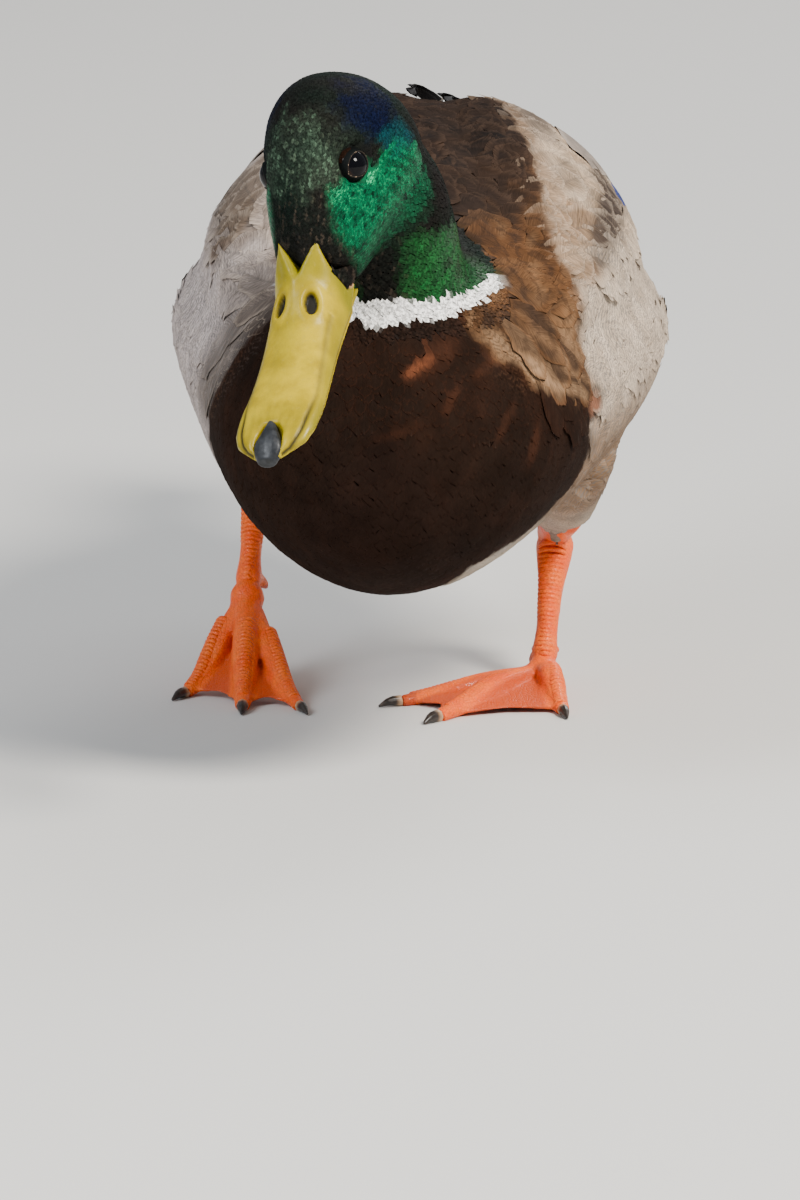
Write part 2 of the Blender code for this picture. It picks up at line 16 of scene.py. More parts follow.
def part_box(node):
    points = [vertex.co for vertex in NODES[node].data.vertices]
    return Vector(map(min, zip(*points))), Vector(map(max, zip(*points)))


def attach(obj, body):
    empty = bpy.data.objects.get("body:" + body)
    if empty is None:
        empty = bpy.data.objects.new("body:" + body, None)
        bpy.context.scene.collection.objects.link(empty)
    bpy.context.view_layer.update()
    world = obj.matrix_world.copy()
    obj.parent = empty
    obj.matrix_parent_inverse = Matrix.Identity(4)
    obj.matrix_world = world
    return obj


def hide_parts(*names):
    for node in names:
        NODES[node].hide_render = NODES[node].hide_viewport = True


MM = 0.001
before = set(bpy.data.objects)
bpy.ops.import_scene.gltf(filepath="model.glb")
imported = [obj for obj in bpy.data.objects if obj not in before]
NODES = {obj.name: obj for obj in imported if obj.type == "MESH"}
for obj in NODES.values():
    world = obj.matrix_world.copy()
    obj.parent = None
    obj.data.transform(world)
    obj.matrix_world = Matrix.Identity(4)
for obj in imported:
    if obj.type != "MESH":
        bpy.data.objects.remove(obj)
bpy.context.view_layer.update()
SIDES = {"left": 1, "right": -1}  # with the sign of x there

# Plumage and bare parts, linear colours
CHESTNUT = (0.0135, 0.0070, 0.0046)
# painted sheen: copper that stands for the breast's gloss, in spots and on its feathers' edges
COPPER_SHEEN = (0.085, 0.028, 0.013)
MANTLE = (0.092, 0.042, 0.018)
UMBER = (0.024, 0.015, 0.011)
SCAPULAR = (0.350, 0.245, 0.160)
FLANK = (0.430, 0.335, 0.250)
VERMICULE = (0.150, 0.138, 0.130)
BELLY = (0.400, 0.320, 0.240)
BLACK = (0.008, 0.009, 0.012)
WHITE = (0.930, 0.920, 0.900)
EMERALD = (0.004, 0.165, 0.066)
TEAL = (0.003, 0.070, 0.085)
NAVY = (0.002, 0.0032, 0.019)
JET = (0.0085, 0.0070, 0.0062)
SPECULUM = (0.009, 0.020, 0.140)
WING_BROWN = (0.150, 0.118, 0.095)
DOWN = (0.300, 0.270, 0.240)

# Tones of single markings on the body
FLANK_PALE = (0.52, 0.42, 0.33)
FLANK_WARM = (0.18, 0.100, 0.052)
FLANK_GREY = (0.46, 0.39, 0.375)
SHOULDER_PALE = (0.46, 0.35, 0.25)
SHOULDER_GREY = (0.38, 0.325, 0.305)
# painted shade along the left shoulder's edge
SHOULDER_EDGE_SHADE = (0.045, 0.033, 0.027)
SHOULDER_FRONT = (0.200, 0.125, 0.075)
# painted shade on the right shoulder
SHOULDER_SHADE = (0.135, 0.098, 0.072)
# painted shade on the breast's right side
BREAST_SIDE_SHADE = (0.105, 0.080, 0.065)
# painted shadow in the fold at the breast's edge
BREAST_FOLD_SHADOW = (0.040, 0.029, 0.025)
BREAST_GROUND = (0.013, 0.0078, 0.0058)
BREAST_UNDER = (0.016, 0.007, 0.006)
# painted highlight on the breast
BREAST_HIGHLIGHT = (0.520, 0.165, 0.075)
BREAST_BARS = (0.075, 0.036, 0.020)
SIDE_SPOT = (0.210, 0.092, 0.055)
SIDE_SPOT_RIM = (0.025, 0.014, 0.010)
MANTLE_DEEP = (0.055, 0.026, 0.012)
MANTLE_TOP = (0.010, 0.008, 0.0075)
MANTLE_LOW = (0.240, 0.142, 0.078)
MANTLE_PALE = (0.240, 0.140, 0.075)
MANTLE_STRIPE = (0.030, 0.018, 0.012)
MANTLE_EDGE = (0.300, 0.190, 0.110)
FRINGE = (0.56, 0.45, 0.35)
MANTLE_FRINGE = (0.130, 0.058, 0.024)
MANTLE_TOP_FRINGE = (0.040, 0.027, 0.020)

# Tones of the long feathers
TERTIAL = (0.200, 0.160, 0.130)
TERTIAL_FRINGE = (0.36, 0.30, 0.25)
PRIMARY = (0.085, 0.068, 0.056)
PRIMARY_FRINGE = (0.30, 0.26, 0.22)
TAIL_BROWN = (0.155, 0.128, 0.105)
TAIL_FRINGE = (0.72, 0.70, 0.66)
CURL_BLACK = (0.010, 0.009, 0.010)
CURL_FRINGE = (0.020, 0.020, 0.020)

# Tones of single markings on the head
JET_GREEN = (0.004, 0.010, 0.007)
# painted glints on the forehead
EMERALD_DEEP = (0.002, 0.022, 0.012)
NECK_GREEN = (0.012, 0.105, 0.026)
FOREHEAD_GLINT = (0.050, 0.038, 0.028)
# painted green sheen above the eyes
BROW_SHEEN = (0.072, 0.122, 0.078)


# --- places ----------------------------------------------------------------


def box_of(node):
    """The lowest and the highest corner of a solid's box."""
    return [np.array(corner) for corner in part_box(node)]


def middle(node):
    """The middle of a solid's box."""
    low, high = box_of(node)
    return (low + high) / 2


def rotation(yaw, pitch, roll):
    """A turn about Z, X and Y in degrees, as a 3 x 3 array."""
    turn = Matrix.Rotation(math.radians(yaw), 3, "Z")
    turn = turn @ Matrix.Rotation(math.radians(pitch), 3, "X")
    return np.array(turn @ Matrix.Rotation(math.radians(roll), 3, "Y"))


HEAD_AXES = rotation(-14.0, 31.5, -12.5)  # columns: the head's left, back and crown
EYE_PLACE = np.array((10.7, 0.3, 0.6)) * MM  # of the left eye in the head's own frame
HEAD_AT = (middle("eye_left") + middle("eye_right")) / 2 - HEAD_AXES @ (EYE_PLACE * (0, 1, 1))
TRUNK_LOW, TRUNK_HIGH = box_of("trunk")
AXIS_X = (TRUNK_LOW[0] + TRUNK_HIGH[0]) / 2
AXIS_Z = TRUNK_LOW[2] + 0.495 * (TRUNK_HIGH[2] - TRUNK_LOW[2])
NECK_Y = -0.108  # where the neck stands on the trunk
COLLAR_X = -0.002  # the middle of the collar
THROAT_X = -0.0025  # the middle of the neck above it
THIGH_X = {"left": 0.040, "right": -0.047}


def to_head(points):
    """Places in the head's own frame, in millimetres."""
    return (points - HEAD_AT) @ HEAD_AXES / MM


def from_head(points):
    """Places given in the head's own frame, in millimetres."""
    return np.asarray(points, float) * MM @ HEAD_AXES.T + HEAD_AT


def body_place(points):
    """(y in millimetres, degrees round the trunk from the back, positive to the left)."""
    turn = np.degrees(np.arctan2(points[:, 0] - AXIS_X, points[:, 2] - AXIS_Z))
    return points[:, 1] / MM, turn


def from_neck(points):
    """Millimetres from the collar's middle, seen from above."""
    return np.hypot(points[:, 0] - COLLAR_X, points[:, 1] - NECK_Y) / MM


def unit(vectors):
    """The vectors at length 1."""
    return vectors / np.maximum(np.linalg.norm(vectors, axis=-1, keepdims=True), 1e-12)


def span(values, start, end):
    """0 before start, 1 after end, even between them."""
    return np.clip((values - start) / (end - start), 0, 1)


def ramp(values, start, end):
    """0 before start, 1 after end, smooth between them."""
    t = span(values, start, end)
    return t * t * (3 - 2 * t)


def ripple(points, scale, seed=0):
    """A smooth random field from -1 to 1, with features of about that size in metres."""
    waves = np.random.default_rng(100 + seed)
    total = np.zeros(len(points))
    for _ in range(9):
        way = unit(waves.normal(size=3)) * waves.uniform(0.6, 1.7) * 2 * math.pi / scale
        total += np.sin(points @ way + waves.uniform(0, 2 * math.pi))
    return np.clip(total / 4.2, -1, 1)


def blend(a, b, share):
    """Colour a turned into b by a share for each point; each may be one colour or a row for each."""
    share = np.clip(share, 0, 1)[:, None]
    return np.broadcast_to(a, (len(share), 3)) * (1 - share) + np.asarray(b) * share


# --- meshes ----------------------------------------------------------------


def place_in_scene(name, data):
    """A new object of the scene, with that mesh, lamp or camera."""
    made = bpy.data.objects.new(name, data)
    bpy.context.scene.collection.objects.link(made)
    return made


# kind and field of an attribute with so many numbers for each vertex
ATTRIBUTE_KINDS = {1: ("FLOAT", "value"), 3: ("FLOAT_VECTOR", "vector"), 4: ("FLOAT_COLOR", "color")}


def add_attribute(mesh, name, values):
    """A number, vector or colour for each vertex, as rows of 1, 3 or 4."""
    kind, field = ATTRIBUTE_KINDS[values.shape[1]]
    layer = mesh.attributes.new(name, kind, "POINT")
    layer.data.foreach_set(field, np.ascontiguousarray(values, np.float32).ravel())


def make_object(name, points, quads, material, attributes=None, uvs=None):
    """A mesh of four-sided faces, with point attributes and UV maps given for each vertex."""
    mesh = bpy.data.meshes.new(name)
    mesh.vertices.add(len(points))
    mesh.vertices.foreach_set("co", np.ascontiguousarray(points, np.float32).ravel())
    mesh.loops.add(quads.size)
    mesh.loops.foreach_set("vertex_index", np.ascontiguousarray(quads, np.int32).ravel())
    mesh.polygons.add(len(quads))
    mesh.polygons.foreach_set("loop_start", np.arange(len(quads), dtype=np.int32) * quads.shape[1])
    mesh.update(calc_edges=True)
    shade_smooth(mesh)
    for key, values in (attributes or {}).items():
        add_attribute(mesh, key, values)
    for key, values in (uvs or {}).items():
        layer = mesh.uv_layers.new(name=key)
        layer.data.foreach_set("uv", np.ascontiguousarray(values[quads.ravel()], np.float32).ravel())
    mesh.materials.append(material)
    return place_in_scene(name, mesh)


def settle(piece, slot, *nodes):
    """Puts a finished piece on the body, in place of these nodes."""
    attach(piece, "root")
    if nodes:
        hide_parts(*nodes)
    return piece


def evaluated(source):
    """The object's mesh with its modifiers applied, taking the object's place."""
    graph = bpy.context.evaluated_depsgraph_get()
    mesh = bpy.data.meshes.new_from_object(source.evaluated_get(graph))
    source.modifiers.clear()
    old, source.data = source.data, mesh
    bpy.data.meshes.remove(old)
    return source


def remeshed(name, nodes, grow, voxel, balls=()):
    """One closed surface round copies of the solids, grown so that neighbours meet, and round balls
    given as (centre, radius)."""
    work = bmesh.new()
    for node in nodes:
        work.from_mesh(NODES[node].data)
    bmesh.ops.remove_doubles(work, verts=work.verts, dist=1e-6)
    for centre, radius in balls:
        bmesh.ops.create_icosphere(work, subdivisions=3, radius=radius, matrix=Matrix.Translation(centre))
    work.normal_update()
    for vertex in work.verts:
        vertex.co += vertex.normal * grow
    mesh = bpy.data.meshes.new(name)
    work.to_mesh(mesh)
    work.free()
    made = place_in_scene(name, mesh)
    modifier = made.modifiers.new("surface", "REMESH")
    modifier.mode = "VOXEL"
    modifier.voxel_size = voxel
    return evaluated(made)


def largest_island(source):
    """Removes the loose shells that remeshing leaves inside."""
    work = bmesh.new()
    work.from_mesh(source.data)
    left, islands = set(work.verts), []
    while left:
        island, front = set(), [left.pop()]
        while front:
            vertex = front.pop()
            island.add(vertex)
            for edge in vertex.link_edges:
                other = edge.other_vert(vertex)
                if other in left:
                    left.discard(other)
                    front.append(other)
        islands.append(island)
    islands.sort(key=len)
    loose = [v for island in islands[:-1] for v in island]
    bmesh.ops.delete(work, geom=loose, context="VERTS")
    work.to_mesh(source.data)
    work.free()
    return source


def read_vectors(mesh, field):
    """One vector of every vertex, as an (n, 3) array."""
    values = np.empty(len(mesh.vertices) * 3, np.float32)
    mesh.vertices.foreach_get(field, values)
    return values.reshape(-1, 3).astype(float)


def read_points(mesh):
    """The places of the mesh's vertices."""
    return read_vectors(mesh, "co")


def read_normals(mesh):
    """The normals at the mesh's vertices."""
    return read_vectors(mesh, "normal")


def write_points(mesh, points):
    """Moves the mesh's vertices to these places."""
    mesh.vertices.foreach_set("co", np.ascontiguousarray(points, np.float32).ravel())
    mesh.update()


def read_faces(mesh):
    """Triangles of the mesh, as vertex numbers."""
    mesh.calc_loop_triangles()
    faces = np.empty(len(mesh.loop_triangles) * 3, np.int32)
    mesh.loop_triangles.foreach_get("vertices", faces)
    return faces.reshape(-1, 3)


def read_edges(mesh):
    """The two ends of every edge, as two arrays of vertex numbers."""
    edges = np.empty(len(mesh.edges) * 2, np.int32)
    mesh.edges.foreach_get("vertices", edges)
    return edges.reshape(-1, 2).T


def shade_smooth(mesh):
    """Shades every face with its vertices' normals."""
    mesh.polygons.foreach_set("use_smooth", np.ones(len(mesh.polygons), bool))


def solid_tree(node):
    """A search tree of a solid's surface."""
    mesh = NODES[node].data
    return BVHTree.FromPolygons([v.co for v in mesh.vertices], [p.vertices for p in mesh.polygons])


def smooth(mesh, rounds, strength):
    """Laplacian smoothing; strength may differ from vertex to vertex."""
    points = read_points(mesh)
    a, b = read_edges(mesh)
    count = np.bincount(np.r_[a, b], minlength=len(points))
    strength = np.broadcast_to(strength, len(points))[:, None]
    for _ in range(rounds):
        total = [
            np.bincount(a, points[b, k], len(points)) + np.bincount(b, points[a, k], len(points))
            for k in range(3)
        ]
        points += strength * (np.stack(total, axis=1) / count[:, None] - points)
    write_points(mesh, points)
    return points


# --- materials -------------------------------------------------------------

OBJECT_OUTPUT = 3  # of a Texture Coordinate node
NUMBER_OUTPUT, ALPHA_OUTPUT = 2, 3  # of an Attribute node
MIX_SHARE, MIX_A, MIX_B, MIX_RESULT = 0, 6, 7, 2  # sockets of a Mix node for colours


class Signal:
    """A socket of a material's tree; arithmetic on it adds Math nodes."""

    def __init__(self, surface, socket):
        self.surface, self.socket = surface, socket

    def math(self, operation, *values):
        """The result of a Math node."""
        return self.surface.node("ShaderNodeMath", {"operation": operation}, *values)

    def __add__(self, other):
        return self.math("ADD", self, other)

    def __sub__(self, other):
        return self.math("SUBTRACT", self, other)

    def __rsub__(self, other):
        return self.math("SUBTRACT", other, self)

    def __mul__(self, other):
        return self.math("MULTIPLY", self, other)

    def sine(self):
        """Its sine, from -1 to 1."""
        return self.math("SINE", self)

    def size(self):
        """Its value without the sign."""
        return self.math("ABSOLUTE", self)

    def step(self, start, end, low=0.0, high=1.0):
        """A smooth step from low to high between start and end."""
        settings = {"interpolation_type": "SMOOTHSTEP"}
        return self.surface.node("ShaderNodeMapRange", settings, self, start, end, low, high)

    __radd__ = __add__
    __rmul__ = __mul__


class Surface:
    """A material being made, with one Principled shader."""

    def __init__(self, name, **constants):
        self.material = bpy.data.materials.new(name)
        self.material.use_nodes = True
        self.tree = self.material.node_tree
        self.shader = self.tree.nodes["Principled BSDF"]
        for key, value in constants.items():
            self.shader.inputs[key.replace("_", " ").title().replace("Ior", "IOR")].default_value = value

    def node(self, kind, settings=None, *values, output=0):
        """A node with its settings and inputs, in order; None leaves an input as it is."""
        made = self.tree.nodes.new(kind)
        for key, value in (settings or {}).items():
            setattr(made, key, value)
        for place, value in enumerate(values):
            if value is None:
                continue
            socket = made.inputs[place]
            if isinstance(value, Signal):
                self.tree.links.new(value.socket, socket)
            else:
                socket.default_value = value
        return Signal(self, made.outputs[output])

    def place(self):
        """The place on the object, in metres."""
        return self.node("ShaderNodeTexCoord", output=OBJECT_OUTPUT)

    def number(self, name):
        """A number given for each vertex."""
        return self.attribute(name, NUMBER_OUTPUT)

    def attribute(self, name, output=0):
        """A colour or vector given for each vertex."""
        return self.node("ShaderNodeAttribute", {"attribute_name": name}, output=output)

    def parts(self, vector):
        """The three numbers of a vector or colour."""
        made = self.tree.nodes.new("ShaderNodeSeparateXYZ")
        self.tree.links.new(vector.socket, made.inputs[0])
        return [Signal(self, socket) for socket in made.outputs]

    def noise(self, vector, scale, detail=3.0, rough=0.55):
        """Soft noise of that scale, about 0.5."""
        settings = {"noise_dimensions": "3D"}
        return self.node("ShaderNodeTexNoise", settings, vector, None, scale, detail, rough)

    def cells(self, vector, scale, feature="F1"):
        """Distance to the nearest cell's middle, or to its edge."""
        return self.node("ShaderNodeTexVoronoi", {"feature": feature}, vector, None, scale)

    def mix(self, share, a, b, blend_type="MIX"):
        """Colour a turned into b by a share."""
        made = self.tree.nodes.new("ShaderNodeMix")
        made.data_type, made.blend_type = "RGBA", blend_type
        for place, value in ((MIX_SHARE, share), (MIX_A, a), (MIX_B, b)):
            if isinstance(value, Signal):
                self.tree.links.new(value.socket, made.inputs[place])
            else:
                made.inputs[place].default_value = value if place == MIX_SHARE else (*value, 1)
        return Signal(self, made.outputs[MIX_RESULT])

    def tint(self, colour, shade):
        """Makes this the base colour, lighter or darker by the number shade."""
        grey = self.node("ShaderNodeCombineXYZ", None, shade, shade, shade)
        self.feed("Base Color", self.mix(1.0, colour, grey, "MULTIPLY"))

    def feed(self, name, value):
        """Sets an input of the shader."""
        if isinstance(value, Signal):
            self.tree.links.new(value.socket, self.shader.inputs[name])
        else:
            self.shader.inputs[name].default_value = value

    def bump(self, height, strength, distance):
        """Relief of that depth in metres."""
        made = self.tree.nodes.new("ShaderNodeBump")
        made.inputs["Strength"].default_value = strength
        made.inputs["Distance"].default_value = distance
        self.tree.links.new(height.socket, made.inputs["Height"])
        self.feed("Normal", Signal(self, made.outputs[0]))


def feather_finish(name, barb, relief, fray, **constants):
    """Vanes with their marks: attribute tone is the ground colour and tone_marks the colour of the
    marks, of which attribute marks gives bars, vermiculation, fringe and shaft. Their rims part into
    barbs by the amount of fray."""
    surface = Surface(name, **constants)
    along, across, _ = surface.parts(surface.node("ShaderNodeUVMap", {"uv_map": "vane"}))
    bars, fine, fringe = surface.parts(surface.attribute("marks"))
    shaft = surface.attribute("marks", ALPHA_OUTPUT)
    place = surface.place()
    spread = across.size()
    barbs = along * barb - spread * (barb * 0.35)
    east, north, _ = surface.parts(place)
    grain = surface.node("ShaderNodeCombineXYZ", None, barbs, across * 1.5, (east + north) * 40.0)
    strands = surface.noise(grain, 1.0, 2.0)
    wander = surface.noise(place, 260.0)
    wave = (along * 20.0 + spread * 3.0 + wander * 9.0).sine()
    bar_mask = wave.step(0.1, 0.9) * bars
    worm = (along * 90.0 - spread * 10.0 + surface.noise(place, 800.0, 2.0) * 12.0).sine()
    fine_mask = worm.step(-0.2, 0.8) * fine
    edge = (spread.step(0.55, 1.0) + along.step(0.78, 1.0) + strands * 0.3).step(0.3, 1.1)
    quill = spread.step(0.09, 0.02) * shaft
    marks = (bar_mask + fine_mask).step(0.0, 1.0)
    colour = surface.mix(marks, surface.attribute("tone"), surface.attribute("tone_marks"))
    colour = surface.mix(edge * fringe, colour, surface.attribute("tone_fringe"))
    colour = surface.mix(quill, colour, surface.attribute("tone_marks"))
    mottle = strands.step(0.25, 0.75, 0.64, 1.34) * surface.noise(place, 120.0).step(0.3, 0.7, 0.84, 1.14)
    surface.tint(colour, mottle)
    rim = spread.step(0.70, 1.0) + along.step(0.80, 1.0)
    surface.feed("Alpha", (strands * 1.5 + 0.62 - rim * fray).step(0.0, 0.45))
    surface.bump(strands, relief, 0.00015)
    return surface


def plumage_finish():
    """Body feathers: matt, with deeply frayed rims."""
    return feather_finish("plumage", 60.0, 0.4, 0.85, roughness=0.7, specular_ior_level=0.01)


def flight_finish():
    """Feathers of wings and tail: firmer and a little shiny."""
    return feather_finish("flight_feathers", 110.0, 0.3, 0.3, roughness=0.6, specular_ior_level=0.2)


def head_finish():
    """Feathers of head and neck, which shine like metal by the amount of gloss."""
    head = Surface("head_feathers", specular_ior_level=0.03)
    place = head.place()
    # painted glints: the base colour is made lighter and darker in fine grains
    glint = head.noise(place, 1400.0, 2.0).step(0.35, 0.7, 0.55, 1.45)
    head.tint(head.attribute("tone"), glint)
    head.feed("Metallic", head.number("gloss") * 0.6)
    matt = head.number("gloss").step(0.1, 0.5, 0.30, 0.0)
    head.feed("Roughness", head.noise(place, 900.0, 2.0).step(0.3, 0.7, 0.3, 0.5) + matt)
    head.bump(head.noise(place, 2600.0, 3.0), 0.5, 0.00015)
    return head


def under_finish():
    """The skin under the feathers, in their colours darkened as painted shade."""
    under = Surface("down_and_skin", roughness=0.85, specular_ior_level=0.15)
    place = under.place()
    shade = under.noise(place, 700.0, 4.0).step(0.25, 0.75, 0.55, 1.0)
    under.tint(under.attribute("tone"), shade)
    under.bump(under.noise(place, 1800.0), 0.5, 0.0003)
    return under


def leg_finish():
    """The orange scales of shanks and feet, and the webs painted darker as shade."""
    leg = Surface("leg_scales", roughness=0.46, specular_ior_level=0.30, coat_weight=0.05,
                  subsurface_weight=0.06, subsurface_scale=0.003)
    leg.shader.inputs["Subsurface Radius"].default_value = (1.0, 0.35, 0.15)
    place = leg.place()
    scale_edge = leg.cells(place, 950.0, "DISTANCE_TO_EDGE")
    groove = scale_edge.step(0.0, 0.16)
    grain = leg.noise(place, 160.0, 4.0).step(0.3, 0.7)
    ground = leg.mix(grain, (0.86, 0.088, 0.003), (0.94, 0.150, 0.008))
    web = leg.number("web")
    # painted shade: the webs darker than the toes
    ground = leg.mix(web, ground, (0.55, 0.065, 0.008))
    dirt = leg.noise(place, 420.0, 5.0).step(0.56, 0.74) * 0.22
    ground = leg.mix(dirt, ground, (0.30, 0.075, 0.030))
    leg.feed("Base Color", leg.mix((1 - groove) * 0.40, ground, (0.45, 0.060, 0.010)))
    leg.feed("Roughness", leg.noise(place, 500.0).step(0.3, 0.7, 0.36, 0.56))
    leg.bump(groove * 0.7 + leg.noise(place, 1500.0) * 0.3, 0.55, 0.00025)
    return leg


def bill_finish():
    """Yellow horn with olive clouds, painted shade in its nostrils, seams and grooves, and the pink of
    its gape.
    """
    bill = Surface("bill_horn", roughness=0.34, specular_ior_level=0.20, coat_weight=0.06,
                   coat_roughness=0.2, subsurface_weight=0.03, subsurface_scale=0.003)
    bill.shader.inputs["Subsurface Radius"].default_value = (1.0, 0.7, 0.2)
    place = bill.place()
    cloud = bill.noise(place, 130.0, 4.0).step(0.3, 0.7)
    ground = bill.mix(cloud, (0.32, 0.225, 0.001), (0.52, 0.375, 0.001))
    olive = bill.number("olive")
    ground = bill.mix(olive, ground, (0.190, 0.165, 0.003))
    speckle = bill.noise(place, 1100.0, 2.0).step(0.60, 0.72) * 0.30
    ground = bill.mix(speckle, ground, (0.36, 0.27, 0.05))
    # painted shade in the nostrils, the mouth's seam, the grooves, the comb and the corner under the
    # cheek feathers
    ground = bill.mix(bill.number("dark"), ground, (0.012, 0.011, 0.008))
    ground = bill.mix(bill.number("pink"), ground, (0.62, 0.30, 0.22))
    bill.feed("Base Color", ground)
    worn = bill.noise(place, 500.0, 3.0).step(0.3, 0.7, 0.30, 0.48)
    bill.feed("Roughness", worn + bill.number("dark") * 0.5)
    bill.bump(bill.noise(place, 700.0, 5.0) + bill.noise(place, 90.0) * 2.0, 0.25, 0.0003)
    return bill


def nail_finish():
    """Black horn of the bill's tip."""
    nail = Surface("nail_horn", specular_ior_level=0.3)
    place = nail.place()
    cloud = nail.noise(place, 500.0, 4.0).step(0.3, 0.75)
    nail.feed("Base Color", nail.mix(cloud, (0.010, 0.011, 0.013), (0.030, 0.033, 0.038)))
    nail.feed("Roughness", nail.noise(place, 800.0).step(0.3, 0.7, 0.32, 0.5))
    nail.bump(nail.noise(place, 900.0, 4.0), 0.3, 0.0002)
    return nail


def claw_finish():
    """Pale horn at the claw's root, black at its tip."""
    claw = Surface("claw_horn", roughness=0.35, specular_ior_level=0.5)
    place = claw.place()
    tip = claw.number("reach")
    ground = claw.mix(tip.step(0.10, 0.40), (0.52, 0.32, 0.18), (0.018, 0.013, 0.011))
    worn = claw.noise(place, 900.0).step(0.4, 0.8) * 0.4
    claw.feed("Base Color", claw.mix(worn, ground, (0.10, 0.075, 0.06)))
    claw.feed("Roughness", claw.noise(place, 900.0).step(0.3, 0.7, 0.28, 0.45))
    claw.bump(claw.noise(place, 1300.0), 0.3, 0.0002)
    return claw


def eye_finish():
    """A dark iris round a black pupil, under glass."""
    eye = Surface("eye_glass", roughness=0.03, specular_ior_level=0.12)
    reach = eye.number("reach")
    place = eye.place()
    fibre = eye.noise(place, 2500.0, 3.0).step(0.3, 0.7)
    iris = eye.mix(fibre, (0.007, 0.004, 0.003), (0.022, 0.010, 0.006))
    eye.feed("Base Color", eye.mix(reach.step(0.50, 0.42), iris, (0.002, 0.002, 0.003)))
    eye.feed("Roughness", fibre * 0.01 + 0.03)
    return eye


def lid_finish():
    """Dark skin, with pale beads along the rim."""
    lid = Surface("lid_skin", roughness=0.6, specular_ior_level=0.05)
    place = lid.place()
    dots = lid.cells(place, 1500.0).step(0.18, 0.34)
    beads = lid.mix(dots, (0.34, 0.25, 0.18), (0.030, 0.022, 0.017))
    lid.feed("Base Color", lid.mix(lid.number("rim"), (0.004, 0.005, 0.005), beads))
    lid.bump(lid.noise(place, 2200.0), 0.5, 0.0002)
    return lid


MATERIALS = {
    "plumage": plumage_finish().material,
    "flight": flight_finish().material,
    "head": head_finish().material,
    "under": under_finish().material,
    "leg": leg_finish().material,
    "bill": bill_finish().material,
    "nail": nail_finish().material,
    "claw": claw_finish().material,
    "eye": eye_finish().material,
    "lid": lid_finish().material,
}


# --- the skin --------------------------------------------------------------

FLESH = ("trunk", "neck", "head", "wing_left", "wing_right", "thigh_left", "thigh_right")
TRUNK, NECK, HEAD, WING, THIGH = 0, 1, 2, 3, 4
REGION_OF = (TRUNK, NECK, HEAD, WING, WING, THIGH, THIGH)
SOCKETS = ("eye_left", "eye_right")
LEG_PARTS = ("shank", "foot", "hind_toe")
TOES = ("inner", "middle", "outer")
BARE = [f"{part}_{side}" for side in SIDES for part in LEG_PARTS]
COAT_DEPTH = {TRUNK: 1.2, NECK: 0.5, HEAD: 0.3, WING: 1.5, THIGH: 0.9}  # millimetres
EYE_RADIUS = 5.0 * MM
EYE_OPENING = 3.8 * MM
LID_WIDTH = 0.9 * MM
EYE_WAY = unit(np.array((0.90, -0.32, 0.29)))
EYE_SHIFT = np.array((-0.4, 2.0, 3.5)) * MM  # from the solid eye to the ball, in the head's frame
SKIN_VOXEL = 1.9 * MM
SKIN_GROWTH = 0.5 * MM  # closes the gaps between the solids
BARE_LEG_DEPTH = 3.2 * MM  # how far the skin draws in under the thigh, where the leg comes out
SOCKET_HEIGHT = 1.2 * MM  # over the eye's centre, where the skin stays behind the lids
SOCKET_RADII = (4.5 * MM, 6.6 * MM)  # where the skin leaves its own height, inside and outside


def nearest_region(points):
    """Which part of the body each point belongs to."""
    best = np.full(len(points), 1.0)
    region = np.zeros(len(points), int)
    for node, number in zip(FLESH, REGION_OF):
        tree = solid_tree(node)
        for i, point in enumerate(points):
            found = tree.find_nearest(Vector(point), best[i])
            if found[3] is not None and found[3] < best[i]:
                best[i], region[i] = found[3], number
    return region


def outward_gap(points, normals):
    """How far the solids' surface lies outside each point of a smoothed skin."""
    work = bmesh.new()
    for node in FLESH:
        work.from_mesh(NODES[node].data)
    tree = BVHTree.FromBMesh(work)
    work.free()
    nearest = np.array([tree.find_nearest(Vector(point))[0] for point in points])
    return np.clip(((nearest - points) * normals).sum(axis=1), -3 * MM, 3 * MM)


def soften(mesh, values, rounds):
    """Averages a number over neighbouring vertices."""
    a, b = read_edges(mesh)
    count = np.bincount(np.r_[a, b], minlength=len(values))
    values = values.astype(float)
    for _ in range(rounds):
        total = np.bincount(a, values[b], len(values)) + np.bincount(b, values[a], len(values))
        values = 0.5 * values + 0.5 * total / count
    return values


def shank_axis(side):
    """The two ends of a shank's axis, lower first."""
    points = read_points(NODES[f"shank_{side}"].data)
    height = points[:, 2]
    low, high = height.min(), height.max()
    return points[height < low + 1.5 * MM].mean(axis=0), points[height > high - 1.5 * MM].mean(axis=0)


def above_ankle(points):
    """Millimetres above the ankle of the leg on that side."""
    ankles = {side: shank_axis(side)[1][2] / MM - 4 for side in SIDES}
    return points[:, 2] / MM - np.where(points[:, 0] > 0, ankles["left"], ankles["right"])


def eye_frame(side):
    """Centre of the eyeball and the way it looks."""
    mirror = np.array((SIDES[side], 1, 1))
    return middle(f"eye_{side}") + HEAD_AXES @ (EYE_SHIFT * mirror), HEAD_AXES @ (EYE_WAY * mirror)


def over_eye(points, side):
    """Height over the eye's centre, distance from its line of sight, and that line's way."""
    centre, way = eye_frame(side)
    offset = points - centre
    height = offset @ way
    return height, np.linalg.norm(offset - height[:, None] * way, axis=1), way


